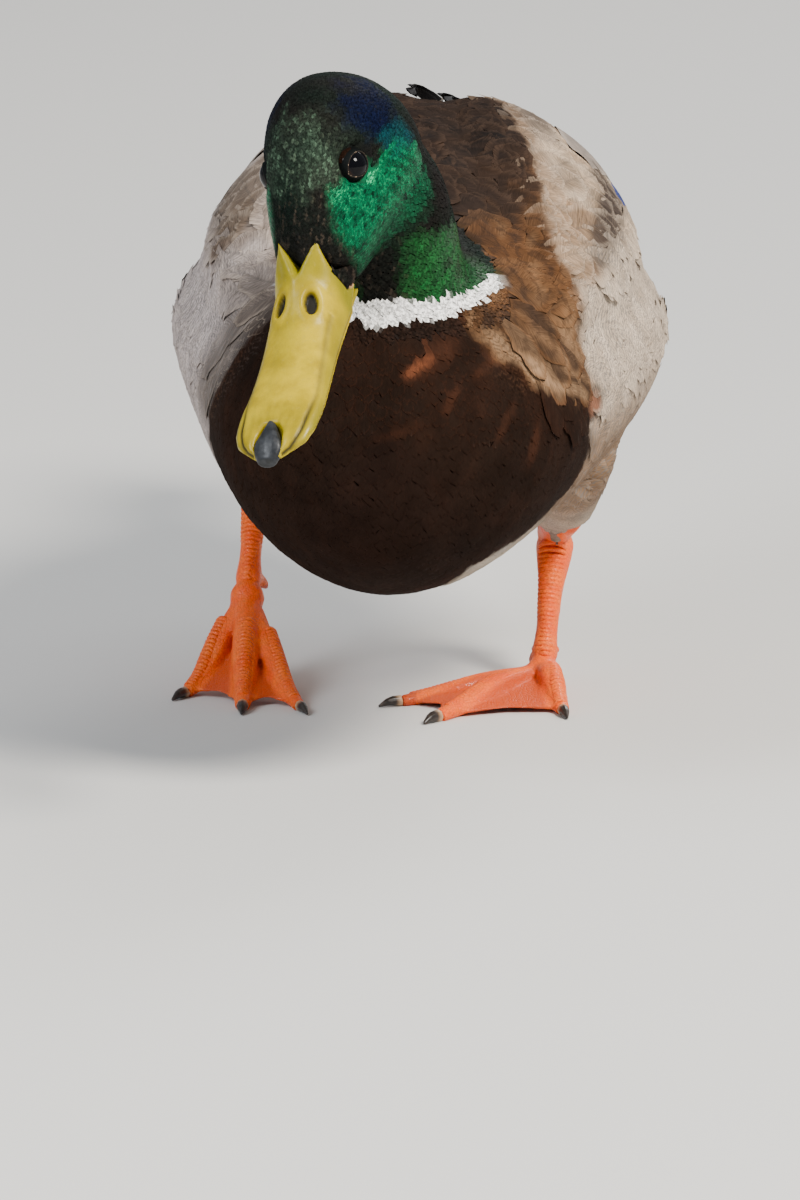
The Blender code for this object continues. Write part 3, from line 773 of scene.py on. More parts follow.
class Skin:
    """The bird's surface under its feathers, with what the coat needs to know of it."""

    def __init__(self):
        self.shell = largest_island(remeshed("skin", FLESH + SOCKETS, SKIN_GROWTH, SKIN_VOXEL))
        mesh = self.shell.data
        points = read_points(mesh)
        self.region = nearest_region(points)
        soft = np.isin(self.region, (TRUNK, WING))
        smooth(mesh, 14, 0.5)
        points = smooth(mesh, 46, soften(mesh, np.where(soft, 0.5, 0.04), 6))
        depth = np.array([COAT_DEPTH[k] for k in sorted(COAT_DEPTH)])[self.region] * MM
        bare = (self.region == THIGH) * (1 - ramp(above_ankle(points), 6, 13))
        depth += BARE_LEG_DEPTH * bare
        normals = read_normals(mesh)
        lost = soften(mesh, outward_gap(points, normals), 14)
        points += normals * (lost - soften(mesh, depth, 8))[:, None]
        write_points(mesh, points)
        self.refresh()

    def refresh(self):
        """Reads the shell again after its points were moved."""
        mesh = self.shell.data
        self.points, self.normals = read_points(mesh), read_normals(mesh)
        self.faces = read_faces(mesh)
        self.tree = BVHTree.FromPolygons(self.points.tolist(), self.faces.tolist())

    def nearest(self, points):
        """(places on the skin, smooth normals) nearest to the points."""
        places, faces = np.empty_like(points), np.empty(len(points), int)
        for i, point in enumerate(points):
            found = self.tree.find_nearest(Vector(point))
            places[i], faces[i] = found[0], found[2]
        corners = self.points[self.faces[faces]]
        weight = 1 / (np.linalg.norm(corners - places[:, None], axis=2) + 1e-5)
        normals = (self.normals[self.faces[faces]] * weight[:, :, None]).sum(axis=1)
        return places, unit(normals)

    def sink_sockets(self):
        """Draws the skin in behind the lids, so that only the eyeball fills each opening."""
        points = self.points.copy()
        for side in SIDES:
            height, reach, way = over_eye(points, side)
            sink = (1 - ramp(reach, *SOCKET_RADII)) * (height > 0)
            points -= way * (np.maximum(height - SOCKET_HEIGHT, 0) * sink)[:, None]
        write_points(self.shell.data, points)


# --- markings, shared by skin and coat ------------------------------------

# the chestnut breast ends at this y, in millimetres, for degrees round the trunk
BREAST_LIMIT = (
    (-180, -88), (-150, -82), (-125, -76), (-110, -80), (-100, -93), (-92, -100), (-80, -107),
    (-70, -109), (-53, -111), (-36, -115), (0, -122), (36, -119), (50, -121), (64, -121), (74, -117),
    (83, -113), (90, -96), (96, -84), (103, -77), (110, -69), (122, -70), (135, -85), (145, -100),
    (155, -108), (166, -98), (180, -88),
)
# the brown mantle ends at this y, for degrees from the midline of the back
MANTLE_LIMIT = (
    (0, 66), (12, 54), (20, 32), (30, -10), (40, -46), (53, -68), (74, -76), (96, -74), (104, -90),
)
# on the bird's right the grey shoulder feathers lie over more of the mantle
MANTLE_LIMIT_RIGHT = ((0, 66), (12, 54), (20, 32), (30, -14), (38, -60), (46, -96), (54, -125))

# painted coppery highlights on the breast: x, height, slope in degrees, half length, half width, strength
PAINTED_HIGHLIGHTS = (
    (8.5, 121.0, 30, 4.6, 1.5, 1.00),
    (12.5, 123.0, 30, 9.0, 3.4, 0.15),
    (17.0, 112.0, 62, 6.0, 1.3, 0.18),
    (3.0, 104.0, 20, 7.0, 1.4, 0.12),
    (26.0, 119.0, 35, 6.0, 1.4, 0.12),
    (31.0, 104.0, 65, 7.0, 1.2, 0.12),
    (38.0, 96.0, 80, 7.0, 1.2, 0.14),
)

# darker feathers on the shoulders: y, degrees from the back, half length (millimetres), half width
# (degrees), strength, colour
WING_PATCHES = (
    (29, 26, 20, 9, 0.90, (0.050, 0.034, 0.025)),
    (-12, 43, 12, 5, 0.55, (0.110, 0.075, 0.050)),
    (-44, 52, 18, 9, 0.85, (0.250, 0.155, 0.090)),
    (-43, 61, 15, 4.5, 0.85, (0.075, 0.045, 0.030)),
    (8, 58, 34, 5, 0.85, (0.045, 0.032, 0.025)),
)
# painted shade along the left shoulder's edge runs at these degrees from the back, for each y
SHADE_LINE = ((-50, 62), (-44, 61), (0, 57), (25, 51), (40, 44))


def mantle_limit(turn):
    """The y at which the mantle ends, on both sides."""
    return np.where(turn > 0, limit(MANTLE_LIMIT, turn), limit(MANTLE_LIMIT_RIGHT, -turn))


def limit(table, values):
    """The second column of a table at these values of the first."""
    return np.interp(values, *zip(*table))


class Places:
    """Places on the body, with the measures that its markings follow."""

    def __init__(self, points):
        self.points = points
        self.y, self.turn = body_place(points)
        self.from_back = np.abs(self.turn)
        self.broad, self.small = ripple(points, 0.045, 1), ripple(points, 0.012, 2)
        self.y_rough = self.y + 2.5 * self.small + 2.0 * self.broad
        self.from_breast = limit(BREAST_LIMIT, self.turn) - self.y_rough


def flank_tone(at):
    """The grey flanks, warmer low on the left."""
    tone = blend(FLANK, FLANK_PALE, 0.5 + 0.5 * at.small)
    tone = blend(tone, FLANK_WARM, ramp(at.from_back, 92, 116) * (at.turn > 0) * 0.88)
    return blend(tone, FLANK_GREY, ramp(-at.turn, 20, 60) * 0.85)


def shoulder_tone(at):
    """The pale shoulders, with darker feathers among them and painted shade on their sides."""
    y, turn, from_back, small = at.y, at.turn, at.from_back, at.small
    tone = blend(SCAPULAR, SHOULDER_PALE, 0.5 + 0.8 * small)
    tone = blend(tone, SHOULDER_GREY, ramp(-turn, 20, 50) * 0.75)
    for patch_y, patch_turn, long, wide, share, colour in WING_PATCHES:
        reach = np.hypot((y - patch_y) / long, (from_back - patch_turn) / wide) + 0.25 * small
        tone = blend(tone, colour, share * ramp(reach, 1.25, 0.65))
    streak = ramp(np.abs(from_back - 30 + y * 0.10 + 7 * at.broad), 7, 3) * ramp(y, -40, -10)
    tone = blend(tone, WING_BROWN, 0.6 * streak)
    # painted shade: a dark band along the left shoulder's edge
    shade_band = np.abs(from_back - limit(SHADE_LINE, y) + 1.5 * small)
    shade_band += 0.5 * np.maximum(np.abs(y + 4) - 36, 0)
    tone = blend(tone, SHOULDER_EDGE_SHADE, 0.92 * ramp(shade_band, 7.5, 4.0) * (turn > 0))
    behind = ramp(y - mantle_limit(turn), 26, 2) * (from_back < 80)
    tone = blend(tone, SHOULDER_FRONT, 0.8 * behind)
    # painted shade: a darker lobe on the right shoulder
    shaded_lobe = np.hypot((y + 24) / 42, (turn + 50) / 13) + 0.15 * small
    return blend(tone, SHOULDER_SHADE, 0.90 * ramp(shaded_lobe, 1.25, 0.55))


def mantle_tone(at, upper):
    """The brown mantle, nearly black in its upper middle and striped low on the sides."""
    from_back, from_breast = at.from_back, at.from_breast
    tone = blend(MANTLE, MANTLE_DEEP, 0.5 + 0.8 * at.broad)
    tone = blend(tone, MANTLE_TOP, upper * (0.88 + 0.12 * at.small))
    tone = blend(tone, MANTLE_LOW, ramp(from_back + 6 * at.small, 56, 80) * 0.75)
    blotch = ripple(at.points * (1.0, 0.55, 1.0), 0.009, 13)
    tone = blend(tone, UMBER, 0.70 * ramp(blotch, 0.1, 0.8))
    tone = blend(tone, MANTLE_PALE, 0.32 * ramp(-blotch, 0.3, 0.9) * (1 - upper))
    low = ramp(from_back, 44, 56)
    stripes = ramp(np.abs(from_breast + 13), 5.5, 2) + ramp(np.abs(from_breast + 27), 5, 2)
    tone = blend(tone, MANTLE_STRIPE, 0.85 * stripes * low)
    return blend(tone, MANTLE_EDGE, 0.5 * ramp(np.abs(from_breast + 4), 5, 2) * low)


def breast_tone(at):
    """The chestnut breast, with painted copper sheen and painted highlights."""
    # painted sheen: copper spots over the chestnut
    sheen_spots = ripple(at.points * (1.0, 1.0, 0.5), 0.007, 12)
    tone = blend(CHESTNUT, COPPER_SHEEN, 0.10 + 0.28 * sheen_spots * (sheen_spots > 0) + 0.12 * at.broad)
    tone = blend(tone, BREAST_UNDER, ramp(at.from_back, 118, 160) * 0.6)
    for x, z, slope, long, wide, share in PAINTED_HIGHLIGHTS:
        aside, above = at.points[:, 0] / MM - x, at.points[:, 2] / MM - z
        cosine, sine = math.cos(math.radians(slope)), math.sin(math.radians(slope))
        reach = np.hypot((aside * cosine + above * sine) / long, (above * cosine - aside * sine) / wide)
        # painted highlights: copper spots fixed on the breast
        highlight = share * ramp(reach + 0.25 * at.small, 1.25, 0.45) * (at.y < -100)
        tone = blend(tone, BREAST_HIGHLIGHT, highlight)
    return tone


def body_marks(points):
    """Colours and marks of the trunk, wings and thighs."""
    at = Places(points)
    y, turn, from_back, small, broad = at.y, at.turn, at.from_back, at.small, at.broad
    breast = ramp(at.from_breast, -1.5, 2.0)
    mantle = ramp(mantle_limit(turn) - at.y_rough, -3, 4) * (from_back < 104)
    upper = ramp(from_back + 10 * small + 0.3 * np.maximum(-y - 30, 0), 48, 34)
    top = ramp(66 + 4 * broad - from_back, -3, 3)
    belly = ramp(from_back + 5 * broad, 128, 146)
    rump = ramp(at.y_rough, 98, 106) * (from_back < 78) + ramp(at.y_rough, 112, 118)
    rump = np.minimum(rump, 1)
    side_patch = ramp(y, 88, 93) * ramp(112 - y, 0, 5) * (from_back > 78) * (from_back < 128)

    tone = blend(flank_tone(at), shoulder_tone(at), top)
    # painted shade: the breast's right side darkens towards the chestnut
    shaded_side = ramp(-turn, 42, 54) * ramp(-turn, 106, 94)
    tone = blend(tone, BREAST_SIDE_SHADE, 0.90 * ramp(at.from_breast, -50, -12) * shaded_side)
    # painted shadow: a dark line in the fold along the chestnut's edge, on the right side
    tone = blend(tone, BREAST_FOLD_SHADOW, 0.80 * ramp(at.from_breast, -9, -3) * shaded_side)
    tone = blend(tone, blend(BELLY, DOWN, 0.4 + 0.4 * small), belly)
    tone = blend(tone, mantle_tone(at, upper), mantle)
    tone = blend(tone, WHITE, side_patch)
    tone = blend(tone, breast_tone(at), breast)
    side_spot = np.hypot((y + 78) / 6, (turn - 97) / 5) + 0.15 * small
    tone = blend(tone, SIDE_SPOT_RIM, 0.85 * ramp(side_spot, 1.35, 1.0))
    tone = blend(tone, SIDE_SPOT, ramp(side_spot, 1.0, 0.5))
    tone = blend(tone, BLACK, rump)

    border = ramp(np.abs(limit(BREAST_LIMIT, turn) - y), 11, 3) * ramp(from_back, 50, 75)
    border *= 1 - ramp(from_back, 104, 118)
    marks_tone = blend(VERMICULE, UMBER, mantle + top * 0.6)
    marks_tone = blend(marks_tone, BREAST_BARS, border * breast)
    fringe = blend(FRINGE, MANTLE_FRINGE, mantle)
    fringe = blend(fringe, MANTLE_TOP_FRINGE, 0.85 * upper * mantle)
    # painted sheen on the edges of the breast feathers
    fringe = blend(fringe, COPPER_SHEEN, breast * (1 - border))
    lower_mantle = mantle * ramp(from_back, 60, 84)
    bars = mantle * (1 - breast) * (0.45 - 0.15 * lower_mantle) + border * breast * 0.4
    plain = (1 - breast) * (1 - rump) * (1 - mantle) * (1 - side_patch)
    fine = plain * (0.62 - 0.30 * top - 0.35 * belly)
    edge = 0.10 + 0.16 * mantle + 0.20 * lower_mantle * (1 - breast) + 0.10 * top - 0.12 * rump
    edge *= (1 - 0.75 * breast) * (1 - 0.8 * border * breast) * (1 - rump)
    shaft = 0.30 * top * plain + 0.20 * mantle
    marks = np.stack([bars, fine, np.clip(edge, 0, 1), shaft], axis=1)
    return tone, marks_tone, fringe, marks, np.zeros(len(points))


def ring_height(y):
    """Height of the collar's middle, in millimetres, at that y."""
    return 134.4 + 0.10 * np.maximum(y + 118, 0)


def ring_share(points):
    """How white the collar is at each point."""
    y, z = points[:, 1] / MM, points[:, 2] / MM
    jag = 0.5 * ripple(points, 0.009, 5) + 0.5 * ripple(points, 0.003, 6) * (z < 134)
    half = np.clip(3.5 - 0.09 * (y + 134), 1.3, 3.5)
    open_nape = ramp(y, -88, -98) * ramp(from_neck(points), 34, 30)
    return ramp(half - np.abs(z - ring_height(y)) + jag, -0.25, 0.25) * open_nape


def head_marks(points):
    """Colours, with painted sheen and glints, and how metallic, of head and neck."""
    x, y, z = to_head(points).T
    x = np.abs(x)
    broad, small = ripple(points, 0.016, 7), ripple(points, 0.005, 8)
    cheek = ramp(x, 7.0, 10.5) * ramp(z + 0.25 * y + 2.0 * small, 6.0, 2.5)
    cheek *= ramp(z + 2 * small, -25, -19) * ramp(y, -19, -13)
    cheek *= ramp(y + 2 * small - 0.4 * np.minimum(z + 17, 0), 22.5, 19)
    teal = 0.8 * ramp(x, 12, 15) * ramp(y + 3 * small, 9, 14) * ramp(y, 24, 20)
    teal *= ramp(z + 0.3 * y, 11, 8) * ramp(z + 0.3 * y, -2, 4)
    crown = ramp(np.hypot((y - 17) / 11, (z - 11) / 8) + 0.3 * small, 1.15, 0.55) * ramp(x, 3, 8)
    from_front = np.degrees(np.arctan2(np.abs(points[:, 0] - THROAT_X), -(points[:, 1] - NECK_Y)))
    neck = ramp(from_front, 8, 22) * ramp(points[:, 2] / MM + 1.5 * small, 158, 153)
    neck *= ramp(from_front, 128, 96) * ramp(z, -20, -26)
    tone = blend(JET, JET_GREEN, 0.4 + 0.5 * broad)
    tone = blend(tone, NAVY, crown * (0.66 + 0.20 * broad))
    grains = ripple(points, 0.0022, 11)
    green = blend(EMERALD, EMERALD_DEEP, 0.32 + 0.45 * small + 0.45 * grains)
    tone = blend(tone, green, np.clip(cheek, 0, 1) * (1 - 0.58 * ramp(z + 2 * small, -7, -20)))
    tone = blend(tone, NECK_GREEN, neck * (0.65 + 0.35 * small))
    tone = blend(tone, TEAL, teal * (0.60 + 0.2 * small))
    gloss = 0.15 + 0.6 * np.clip(cheek + teal + neck, 0, 1)
    # painted sheen: green gloss above the eyes, brightest to the sides
    brow_sheen = ramp(z + 1.5 * small, 5, 10) * ramp(y + 3 * small, 12, 4) * ramp(y + 2 * small, -18, -10)
    brow_sheen *= 0.45 + 0.55 * ramp(x + small, 1.5, 6)
    brow_sheen *= 1 - 0.8 * ramp(x + small, 5.0, 8.0) * ramp(y, -4, 2)
    # painted glints: fine streaks that light the forehead and the brow's sheen
    glint_streaks = ripple(points * (1.0, 0.35, 0.6), 0.0013, 9)
    forehead_glints = ramp(glint_streaks, 0.2, 0.9) * ramp(y, 6, -2) * (1 - np.clip(cheek + brow_sheen, 0, 1))
    tone = blend(tone, FOREHEAD_GLINT, 0.55 * forehead_glints)
    tone = blend(tone, BROW_SHEEN, (0.20 + 0.66 * ramp(glint_streaks, 0.0, 0.9)) * brow_sheen)
    return tone, gloss


def plumage(points, region):
    """(tone, marks' tone, fringe's tone, marks, gloss) for places on the skin."""
    tone, marks_tone, fringe, marks, gloss = body_marks(points)
    y, z = points[:, 1] / MM, points[:, 2] / MM
    front = np.isin(region, (NECK, TRUNK))
    fore = (region == HEAD) | (front & (z > ring_height(y)) & (from_neck(points) < 33))
    if fore.any():
        tone[fore], gloss[fore] = head_marks(points[fore])
        marks[fore] = 0
    breast = front * (z < ring_height(y)) * ramp(limit(BREAST_LIMIT, body_place(points)[1]) - y, 0, 3)
    tone = blend(tone, BREAST_GROUND, 0.75 * breast)
    ring = ring_share(points) * ~np.isin(region, (HEAD, WING, THIGH))
    tone = blend(tone, WHITE, ring)
    gloss *= 1 - ring
    marks *= (1 - ring)[:, None]
    return tone, marks_tone, fringe, marks, gloss


def round_share(aside, ahead):
    """How far round a place lies, from 0 to 1."""
    return np.arctan2(aside, ahead) / (2 * math.pi) + 0.5


def unwrap(points, region):
    """A place in the unit square for each place on the skin, by the part's own round shape."""
    y, turn = body_place(points)
    z, left = points[:, 2] / MM, points[:, 0] > 0
    u, v = 0.03 + 0.56 * (turn / 360 + 0.5), np.interp(y, (-150, -95, 165), (0.03, 0.16, 0.66))
    tilt = np.arctan2(np.hypot(points[:, 0] - AXIS_X, points[:, 2] - AXIS_Z), -(points[:, 1] + 0.092))
    v = np.where(y < -95, 0.02 + 0.14 * tilt / (math.pi / 2), v)
    x, back, up = to_head(points).T
    swing = round_share(points[:, 0] - THROAT_X, points[:, 1] - NECK_Y)
    spin = round_share(points[:, 0] - np.where(left, THIGH_X["left"], THIGH_X["right"]), points[:, 1])
    for part, part_u, part_v in (
        (HEAD, 0.63 + 0.34 * round_share(x, up + 4), 0.03 + 0.38 * span(back, -32, 38)),
        (NECK, 0.63 + 0.34 * swing, 0.44 + 0.20 * span(z, 115, 175)),
        (THIGH, np.where(left, 0.03, 0.33) + 0.26 * spin, 0.70 + 0.16 * span(z, 30, 90)),
    ):
        u, v = np.where(region == part, part_u, u), np.where(region == part, part_v, v)
    return np.stack([u, v], axis=1)


# --- the coat --------------------------------------------------------------

# the line that the feathers run along, in millimetres: over the head, and on back to the tail
LIE_ON_HEAD = ((0, -26, -10), (0, -8, 0), (0, 12, 2), (0, 22, -13))
LIE_ON_BODY = (
    (-4, -117, 158), (-2.5, -106, 144), (-1, -90, 128), (0, -62, 113), (0, 0, 107), (0, 80, 109),
    (0, 165, 115),
)
LIE_LINE = np.concatenate([from_head(LIE_ON_HEAD), np.array(LIE_ON_BODY) * MM])
THIGH_WAY = {"left": (-6.5, 62, -44), "right": (-4, 48, -34)}
HANGING = np.array((0.0, 0.10, -1.0))  # the way at the front of the breast


def lie(points, region):
    """The way the feathers point at each place."""
    line, ways = [], []
    for start, end in zip(LIE_LINE, LIE_LINE[1:]):
        for share in np.linspace(0, 1, 8, endpoint=False):
            line.append(start + (end - start) * share)
            ways.append(unit(end - start))
    line, ways = np.array(line), np.array(ways)
    weight = 1 / (np.linalg.norm(points[:, None] - line, axis=2) + 0.002) ** 6
    way = (weight @ ways) / weight.sum(axis=1, keepdims=True)
    hang = ramp(points[:, 1], -0.086, -0.122) * (region == TRUNK) * ramp(points[:, 2], 0.140, 0.125)
    way = way * (1 - hang)[:, None] + HANGING * hang[:, None]
    for side, towards in THIGH_WAY.items():
        on_side = (region == THIGH) & (points[:, 0] * SIDES[side] > 0)
        way[on_side] = unit(np.array(towards, float))
    return unit(way)


TRIES = 7  # places drawn for each one that is wanted
CLOSEST = 0.88  # of the spacing, between two places


def scatter(skin, spacing, seed):
    """Random places on the skin, no nearer than the spacing given for each vertex."""
    picks = np.random.default_rng(seed)
    corners = skin.points[skin.faces]
    normal = np.cross(corners[:, 1] - corners[:, 0], corners[:, 2] - corners[:, 0])
    area = np.linalg.norm(normal, axis=1) / 2
    apart = spacing[skin.faces].mean(axis=1)
    wanted = np.where(apart > 0, area / np.maximum(apart, 1e-6) ** 2, 0)
    wanted[(spacing[skin.faces] <= 0).any(axis=1)] = 0
    count = int(wanted.sum() * TRIES)
    face = picks.choice(len(wanted), count, p=wanted / wanted.sum())
    a, b = picks.random((2, count))
    flip = a + b > 1
    a[flip], b[flip] = 1 - a[flip], 1 - b[flip]
    shares = np.stack([1 - a - b, a, b], axis=1)
    places = (corners[face] * shares[:, :, None]).sum(axis=1)
    tree = KDTree(count)
    for i, place in enumerate(places):
        tree.insert(place, i)
    tree.balance()
    open_places, kept = np.ones(count, bool), []
    for i in range(count):
        if open_places[i]:
            kept.append(i)
            for _, other, _ in tree.find_range(places[i], apart[face[i]] * CLOSEST):
                open_places[other] = False
    kept = np.array(kept)
    nearest_corner = skin.faces[face[kept], np.argmax(shares[kept], axis=1)]
    return places[kept], nearest_corner


def vane_faces(rows, columns):
    """One closed vane: a top of rows by columns, and a bottom that shares its rim."""
    top = np.arange(rows * columns).reshape(rows, columns)
    bottom = top.copy()
    bottom[1:-1, 1:-1] = np.arange((rows - 2) * (columns - 2)).reshape(rows - 2, -1) + top.size
    faces = []
    for sheet, order in ((top, (0, 1, 2, 3)), (bottom, (0, 3, 2, 1))):
        corners = sheet[:-1, :-1], sheet[1:, :-1], sheet[1:, 1:], sheet[:-1, 1:]
        faces.append(np.stack([corners[k] for k in order], axis=-1).reshape(-1, 4))
    return np.concatenate(faces)


def contour_shape(along):
    """Half width of a body feather, as a share of its widest, from root to tip."""
    body = 0.45 + 0.55 * ramp(along, 0.0, 0.45)
    tip = span(along, 0.5, 1)
    return body * np.maximum(np.sqrt(np.maximum(1 - tip**2.4, 0)), 0.20)


def flight_shape(along):
    """Half width of a long wing or tail feather."""
    tip = span(along, 0.72, 1)
    return (0.55 + 0.45 * ramp(along, 0, 0.3)) * np.maximum(np.sqrt(np.maximum(1 - tip**2.6, 0)), 0.12)


FLATNESS = 0.8  # how far a feather is shaded like the surface that it lies on
PATCH_SIZE = 0.003  # of one vane's patch in the OFBake UV map


class Vanes:
    """Feathers of one kind, gathered into one mesh."""

    def __init__(self, rows, columns, shape=contour_shape, sharpness=0.8):
        self.rows, self.columns, self.shape = rows, columns, shape
        self.along = np.linspace(0, 1, rows) ** sharpness
        self.across = np.linspace(-1, 1, columns)
        self.faces = vane_faces(rows, columns)

    def build(self, spine, up, half, thick, camber, fray, seed):
        """Vertices of vanes whose spines are (n, rows, 3) places with (n, rows, 3) normals. Half
        width, thickness and camber are given for each vane or for all."""
        half, thick, camber = (np.broadcast_to(size, len(spine)) for size in (half, thick, camber))
        ahead = np.gradient(spine, axis=1)
        side = unit(np.cross(up, ahead))
        width = self.shape(self.along)[None, :] * half[:, None]
        jitter = np.random.default_rng(seed).normal(size=(len(spine), self.rows, self.columns))
        rim = np.zeros((self.rows, self.columns))
        rim[:, [0, -1]] = 1
        rim[-1] = 1
        reach = self.across[None, None, :] * (1 + fray * jitter * rim)
        crown = camber[:, None, None] * half[:, None, None] * (1 - self.across**2)[None, None, :]
        sheet = spine[:, :, None] + side[:, :, None] * (width[:, :, None] * reach)[..., None]
        top = sheet + up[:, :, None] * (crown + 0.5 * thick[:, None, None])[..., None]
        bottom = sheet + up[:, :, None] * (crown - 0.5 * thick[:, None, None])[..., None]
        tip_jitter = np.random.default_rng(seed + 1).normal(size=(len(spine), self.columns, 1))
        top[:, -1] += unit(ahead[:, -1])[:, None] * tip_jitter * fray * half[:, None, None]
        inner = bottom[:, 1:-1, 1:-1].reshape(len(spine), -1, 3)
        return np.concatenate([top.reshape(len(spine), -1, 3), inner], axis=1)

    def parameters(self):
        """(along, across) of every vertex of one vane."""
        grid = np.stack(np.meshgrid(self.along, self.across, indexing="ij"), axis=-1)
        return np.concatenate([grid.reshape(-1, 2), grid[1:-1, 1:-1].reshape(-1, 2)])

    def mesh(self, name, vertices, up, roots_uv, marks, material):
        """One object of all the vanes, with both UV maps and the skin's own shading. The marks are
        given for each vane or for each vertex."""
        count, each = vertices.shape[:2]
        faces = (self.faces[None] + (np.arange(count) * each)[:, None, None]).reshape(-1, 4)
        grid = np.broadcast_to(self.parameters(), (count, each, 2))
        patch = roots_uv[:, None] + (grid[..., ::-1] * (0.5, 1.0) - (0, 0.5)) * PATCH_SIZE
        tone, marks_tone, fringe, shares, gloss = marks
        colours = {"tone": tone, "tone_marks": marks_tone, "tone_fringe": fringe}
        attributes = {key: np.hstack([c, np.ones((len(c), 1))]) for key, c in colours.items()}
        attributes.update({"marks": shares, "gloss": gloss[:, None]})
        for key, values in attributes.items():
            if len(values) == count:
                attributes[key] = np.repeat(values, each, axis=0)
        uvs = {"OFBake": patch.reshape(-1, 2), "vane": grid.reshape(-1, 2)}
        made = make_object(name, vertices.reshape(-1, 3), faces, material, attributes, uvs)
        top = np.repeat(up, self.columns, axis=1)
        under = -np.repeat(up[:, 1:-1], self.columns - 2, axis=1)
        lie_of_skin = np.concatenate([top, under], axis=1).reshape(-1, 3)
        shaded = unit(read_normals(made.data) * (1 - FLATNESS) + lie_of_skin * FLATNESS)
        made.data.normals_split_custom_set_from_vertices(shaded.astype(np.float32))
        return made


def follow(skin, roots, ways, lengths, along):
    """Spines that start at the roots and keep to the skin: (places, normals), each (n, rows, 3)."""
    place, normal = skin.nearest(roots)
    way = unit(ways - normal * (ways * normal).sum(axis=1, keepdims=True))
    places, normals = [place], [normal]
    for step in np.diff(along):
        place, normal = skin.nearest(place + way * (lengths * step)[:, None])
        way = unit(way - normal * (way * normal).sum(axis=1, keepdims=True))
        places.append(place)
        normals.append(normal)
    return np.stack(places, axis=1), np.stack(normals, axis=1)


# how far a feather takes the colour of the place it lies over, not one colour of its own
BLENDING = 0.7
VARIATION = (0.82, 1.18)  # of a feather's length, width and height
DISORDER = 0.07  # how far the feathers' ways stray
ROOT_DEPTH = 0.10 * MM  # how deep a feather's root sits

# every tract of the coat: spacing, length, width, height of the tip (millimetres), rows and columns
# of one vane
TRACTS = {
    "head": (0.85, 2.6, 1.25, 0.20, 4, 3),
    "neck": (1.10, 3.9, 1.9, 0.28, 4, 3),
    "breast": (1.78, 7.2, 3.6, 0.24, 5, 5),
    "mantle": (4.4, 22.0, 11.0, 0.90, 8, 7),
    "scapular": (6.4, 34.0, 15.0, 1.00, 10, 9),
    "flank": (4.6, 24.0, 11.0, 0.55, 8, 7),
    "belly": (3.4, 14.0, 7.5, 0.50, 6, 5),
    "rump": (4.2, 17.0, 9.0, 0.80, 7, 5),
    "thigh": (2.0, 8.0, 4.4, 0.40, 5, 5),
}
TRACT_NAMES = list(TRACTS)

# every piece of the coat: its tract, its material and its slot
COAT = {
    "head_feathers": ("head", "head", "head_plumage"),
    "neck_feathers": ("neck", "head", "head_plumage"),
    "breast_feathers": ("breast", "plumage", "breast_plumage"),
    "back_feathers": ("mantle", "plumage", "breast_plumage"),
    "shoulder_feathers": ("scapular", "plumage", "wing_plumage"),
    "flank_feathers": ("flank", "plumage", "wing_plumage"),
    "belly_feathers": ("belly", "plumage", "wing_plumage"),
    "rump_feathers": ("rump", "plumage", "dark_plumage"),
    "thigh_feathers": ("thigh", "plumage", "wing_plumage"),
}


def tract_of(points, region):
    """The tract each place belongs to, as a number into TRACT_NAMES."""
    y, turn = body_place(points)
    from_back = np.abs(turn)
    edge = 9 * ramp(from_back, 26, 38) * ramp(from_back, 102, 90)
    by_neck = np.hypot(points[:, 0] - AXIS_X, points[:, 1] - NECK_Y) < 0.030
    tract = np.full(len(points), TRACT_NAMES.index("flank"))
    for name, inside in (
        ("belly", from_back > 132),
        ("scapular", (from_back < 68) & (y > mantle_limit(turn) - 6)),
        ("rump", y > 98),
        ("mantle", (y < mantle_limit(turn)) & (from_back < 104)),
        ("breast", y < limit(BREAST_LIMIT, turn) + edge),
        ("neck", (region == TRUNK) & by_neck & (points[:, 2] > 0.1295)),
        ("thigh", region == THIGH),
        ("neck", region == NECK),
        ("head", region == HEAD),
    ):
        tract[inside] = TRACT_NAMES.index(name)
    return tract


def bare_face(points):
    """True where the lids leave no room for feathers."""
    bare = np.zeros(len(points), bool)
    for side in SIDES:
        height, reach, _ = over_eye(points, side)
        bare |= (reach < EYE_OPENING + LID_WIDTH) & (height > 0)
    return bare


def face_share(points):
    """1 on the face, where feathers are smallest, and 0 behind the eyes."""
    return ramp(to_head(points)[:, 1], 6, -16)


def plant(skin):
    """Where every feather of the coat starts, with its part of the body and its tract."""
    tract = tract_of(skin.points, skin.region)
    spacing = np.array([TRACTS[name][0] for name in TRACT_NAMES])[tract] * MM
    spacing *= 1 - 0.30 * face_share(skin.points) * (skin.region == HEAD)
    spacing[bare_face(skin.points)] = 0
    spacing[(skin.region == THIGH) & (above_ankle(skin.points) < 8)] = 0
    roots, corner = scatter(skin, spacing, 5)
    keep = ~bare_face(roots)
    return roots[keep], skin.region[corner[keep]], tract[corner[keep]]


